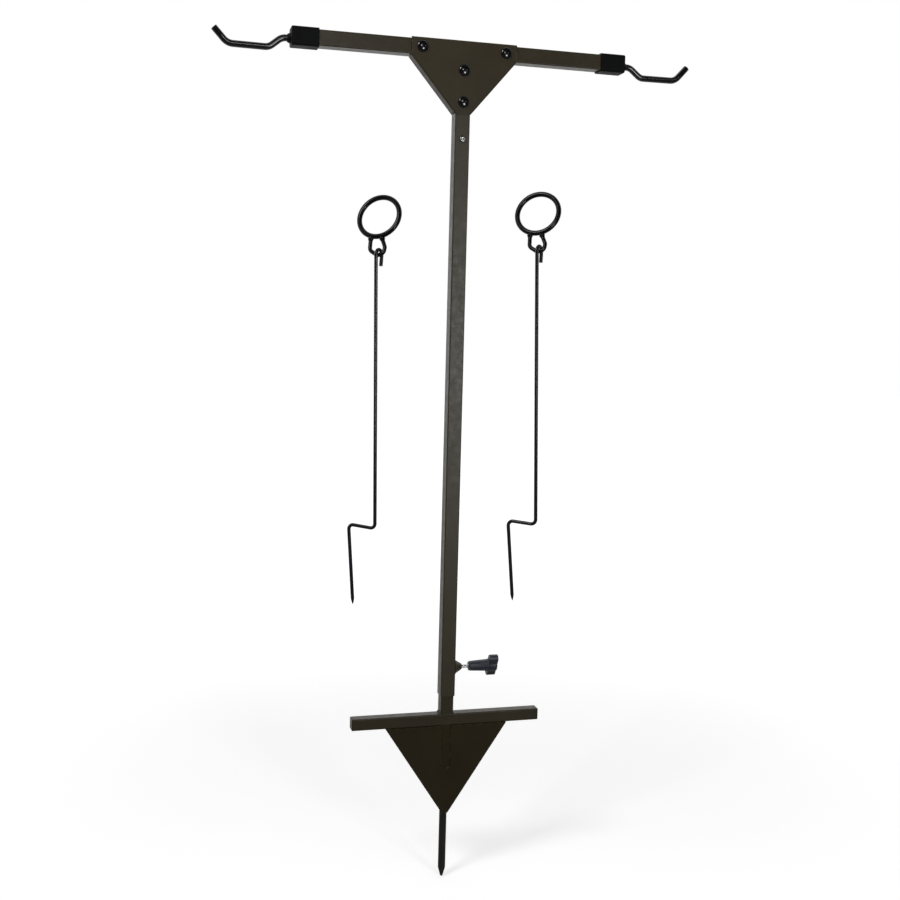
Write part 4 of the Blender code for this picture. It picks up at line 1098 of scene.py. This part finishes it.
def add_knob_wings(bm, head, crown):
    """Two wings across the knob's head, rounded at both faces and turned as they stand."""
    hub = set(bm.verts)
    wing = rounded_face(bm, *KNOB_WING, KNOB_WING_CORNER, head, 14)
    raise_faces(bm, [wing], KNOB_HEAD - KNOB_WING_SINK)
    for level, rounding in ((crown - KNOB_WING_SINK, KNOB_WING_TOP_EDGE), (head, KNOB_WING_FOOT_EDGE)):
        wings = [edge for edge in bm.edges if not set(edge.verts) & hub]
        bevel(bm, at_height(wings, level), rounding, 6)
    turned = [vert for vert in bm.verts if vert not in hub]
    spin = Matrix.Rotation(math.radians(KNOB_TURN), 3, "Z")
    bmesh.ops.rotate(bm, verts=turned, cent=(0, 0, 0), matrix=spin)


def build_knob(place):
    """Hub with shallow ribs, two wings and a capped middle."""
    low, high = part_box("clamp_knob")
    base, crown = low.x, high.x
    head = crown - KNOB_HEAD
    bm = bmesh.new()
    turn_knob_hub(bm, base, head, crown)
    add_knob_wings(bm, head, crown)
    bmesh.ops.transform(bm, matrix=place, verts=bm.verts)
    finish_piece(bm, "clamp_hand_knob", "clamp_knob", ["clamp_knob"], KNOB_BLACK)


def build_clamp():
    low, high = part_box("clamp_boss")
    height = (low.z + high.z) / 2
    place = Matrix.Translation((0.0, 0.0, height)) @ ALONG_X
    build_boss(place, height)
    build_clamp_screw(place)
    build_knob(place)


# Ring stakes.
def stake_frame():
    """Directions of a stake: along its ring's width, away from the front, and up the ring."""
    turn, lean = math.radians(STAKE_TURN), math.radians(RING_LEAN)
    along = Vector((math.cos(turn), math.sin(turn), 0.0))
    backward = Vector((-math.sin(turn), math.cos(turn), 0.0))
    up_ring = Vector((0.0, 0.0, math.cos(lean))) - backward * math.sin(lean)
    return along, backward, up_ring


def link_path():
    """Centre line of the link, its lowest point at the origin."""
    along, _, up_ring = stake_frame()
    top = RING_REACH - RING_MEAN / 2
    corners = [((LINK_LEFT_TOP, top, 0.0), 0.0)]
    for across, up in (LINK_LEFT_HIP, LINK_BOTTOM, LINK_RIGHT_HIP):
        corners.append(((across, up, 0.0), LINK_BEND))
    corners.append(((LINK_RIGHT_TOP, top, 0.0), 0.0))
    lowest = min(rounded_path(corners, 6), key=lambda point: point.y)
    path = [point - lowest for point in rounded_path(corners)]
    return [along * point.x + up_ring * point.y for point in path]


def centre_of_mass(path):
    total, weighted = 0.0, Vector((0.0, 0.0, 0.0))
    for first, second in zip(path, path[1:]):
        length = (second - first).length
        total += length
        weighted += (first + second) / 2 * length
    return weighted / total


def rod_corners():
    """Corners of the rod seen from its eye: tail, eye, shaft, peg and leg."""
    radius = (LINK_WIRE + ROD_WIRE) / 2 + EYE_CLEARANCE
    tail_lean, leg_lean = math.radians(EYE_TAIL_LEAN), math.radians(FOOT_LEG_LEAN)
    twist = math.radians(EYE_TWIST)
    tail_corner = radius * math.tan((math.pi / 2 + tail_lean) / 2) + EYE_HAIR
    tail = EYE_TAIL * Vector((math.sin(tail_lean), 0.0, math.cos(tail_lean)))
    leg = FOOT_LEG * Vector((math.sin(leg_lean), 0.0, -math.cos(leg_lean)))
    across = Vector((math.cos(twist), math.sin(twist), 0.0))
    up = Vector((0.0, 0.0, 1.0))
    shaft_foot = -across * radius - up * ROD_LENGTH
    foot = shaft_foot + Vector((-PEG_LENGTH, 0.0, PEG_RISE))
    return [
        (across * (tail_corner - tail.x) + up * (radius - tail.z), 0.0),
        (across * tail_corner + up * radius, radius),
        (-across * radius + up * radius, radius),
        (shaft_foot, PEG_BEND),
        (foot, PEG_BEND),
        (foot + leg * (1 - FOOT_POINT / FOOT_LEG), 0.0),
        (foot + leg, 0.0),
    ]


def rod_path(lean):
    """Centre line of the rod, hanging with its middle under the link."""
    along, backward, _ = stake_frame()
    corners = rod_corners()
    sideways = Matrix.Rotation(math.radians(-lean), 3, "Y")
    end = [corners[-1][0]]
    heavy = centre_of_mass([sideways @ point for point in rounded_path(corners[:-1], 6) + end])
    leaned = [sideways @ point for point in rounded_path(corners[:-1]) + end]
    hang = Matrix.Rotation(-math.atan2(heavy.y, -heavy.z), 3, "X")
    to_world = Matrix((along, backward, Vector((0.0, 0.0, 1.0)))).transposed()
    return [to_world @ hang @ point for point in leaned]


def build_ring(name, place):
    along, _, up_ring = stake_frame()
    matrix = Matrix((along, up_ring, along.cross(up_ring))).transposed().to_4x4()
    matrix.translation = place + along * RING_OFFSET + up_ring * RING_REACH
    last = 360.0 - 360.0 / RING_SIDES
    section = arc((RING_MEAN / 2, 0.0), RING_WIRE / 2, 0.0, last, RING_SIDES - 1)
    bm = bmesh.new()
    revolve(bm, section, matrix, 112, closed=True)
    finish_piece(bm, name + "_wire_ring", name + "_ring_and_link", [name + "_ring"], RING_ENAMEL)


def build_link(name, place):
    """Link with a weld collar where each leg meets the ring."""
    path = [place + point for point in link_path()]
    sizes = [size for _, size in LINK_COLLAR_SIZES]
    bm = bmesh.new()
    draw_wire(bm, path, LINK_WIRE)
    for top, below in ((path[0], path[1]), (path[-1], path[-2])):
        axis = (top - below).normalized()
        seat = top - axis * (RING_WIRE / 2 - LINK_COLLAR_SINK)
        collar = [seat - axis * LINK_COLLAR * share for share, _ in LINK_COLLAR_SIZES]
        draw_wire(bm, collar, LINK_WIRE, sizes=sizes)
    finish_piece(bm, name + "_wire_link", name + "_ring_and_link", [name + "_link"], RING_ENAMEL)


def build_rod(name, place):
    """Rod with its leg drawn to a point."""
    path = [place + point for point in rod_path(ROD_LEANS[name])]
    base, tip = path[-2], path[-1]
    sizes = [1.0] * (len(path) - 1) + [size for _, size in FOOT_POINT_SIZES]
    path = path[:-1] + [base.lerp(tip, share) for share, _ in FOOT_POINT_SIZES]
    bm = bmesh.new()
    draw_wire(bm, path, ROD_WIRE, sizes=sizes)
    finish_piece(bm, name + "_stake_rod", name + "_rod", [name + "_rod"], ROD_STEEL)


def build_stake(name):
    place = Vector(STAKE_HINGES[name])
    build_ring(name, place)
    build_link(name, place)
    build_rod(name, place)


place_camera()
build_surroundings()
build_floor()
for lamp in SOFT_LAMPS:
    soft_lamp(*lamp)
build_step_bar()
build_spade()
build_spike()
build_inner_tube()
build_mast()
build_gusset_fasteners()
build_stop_screw()
build_bar_end("left", -1, ALONG_MINUS_X)
build_bar_end("right", 1, ALONG_X)
build_clamp()
for side in ("left", "right"):
    build_stake(side)

bpy.context.scene.view_settings.view_transform = "Standard"
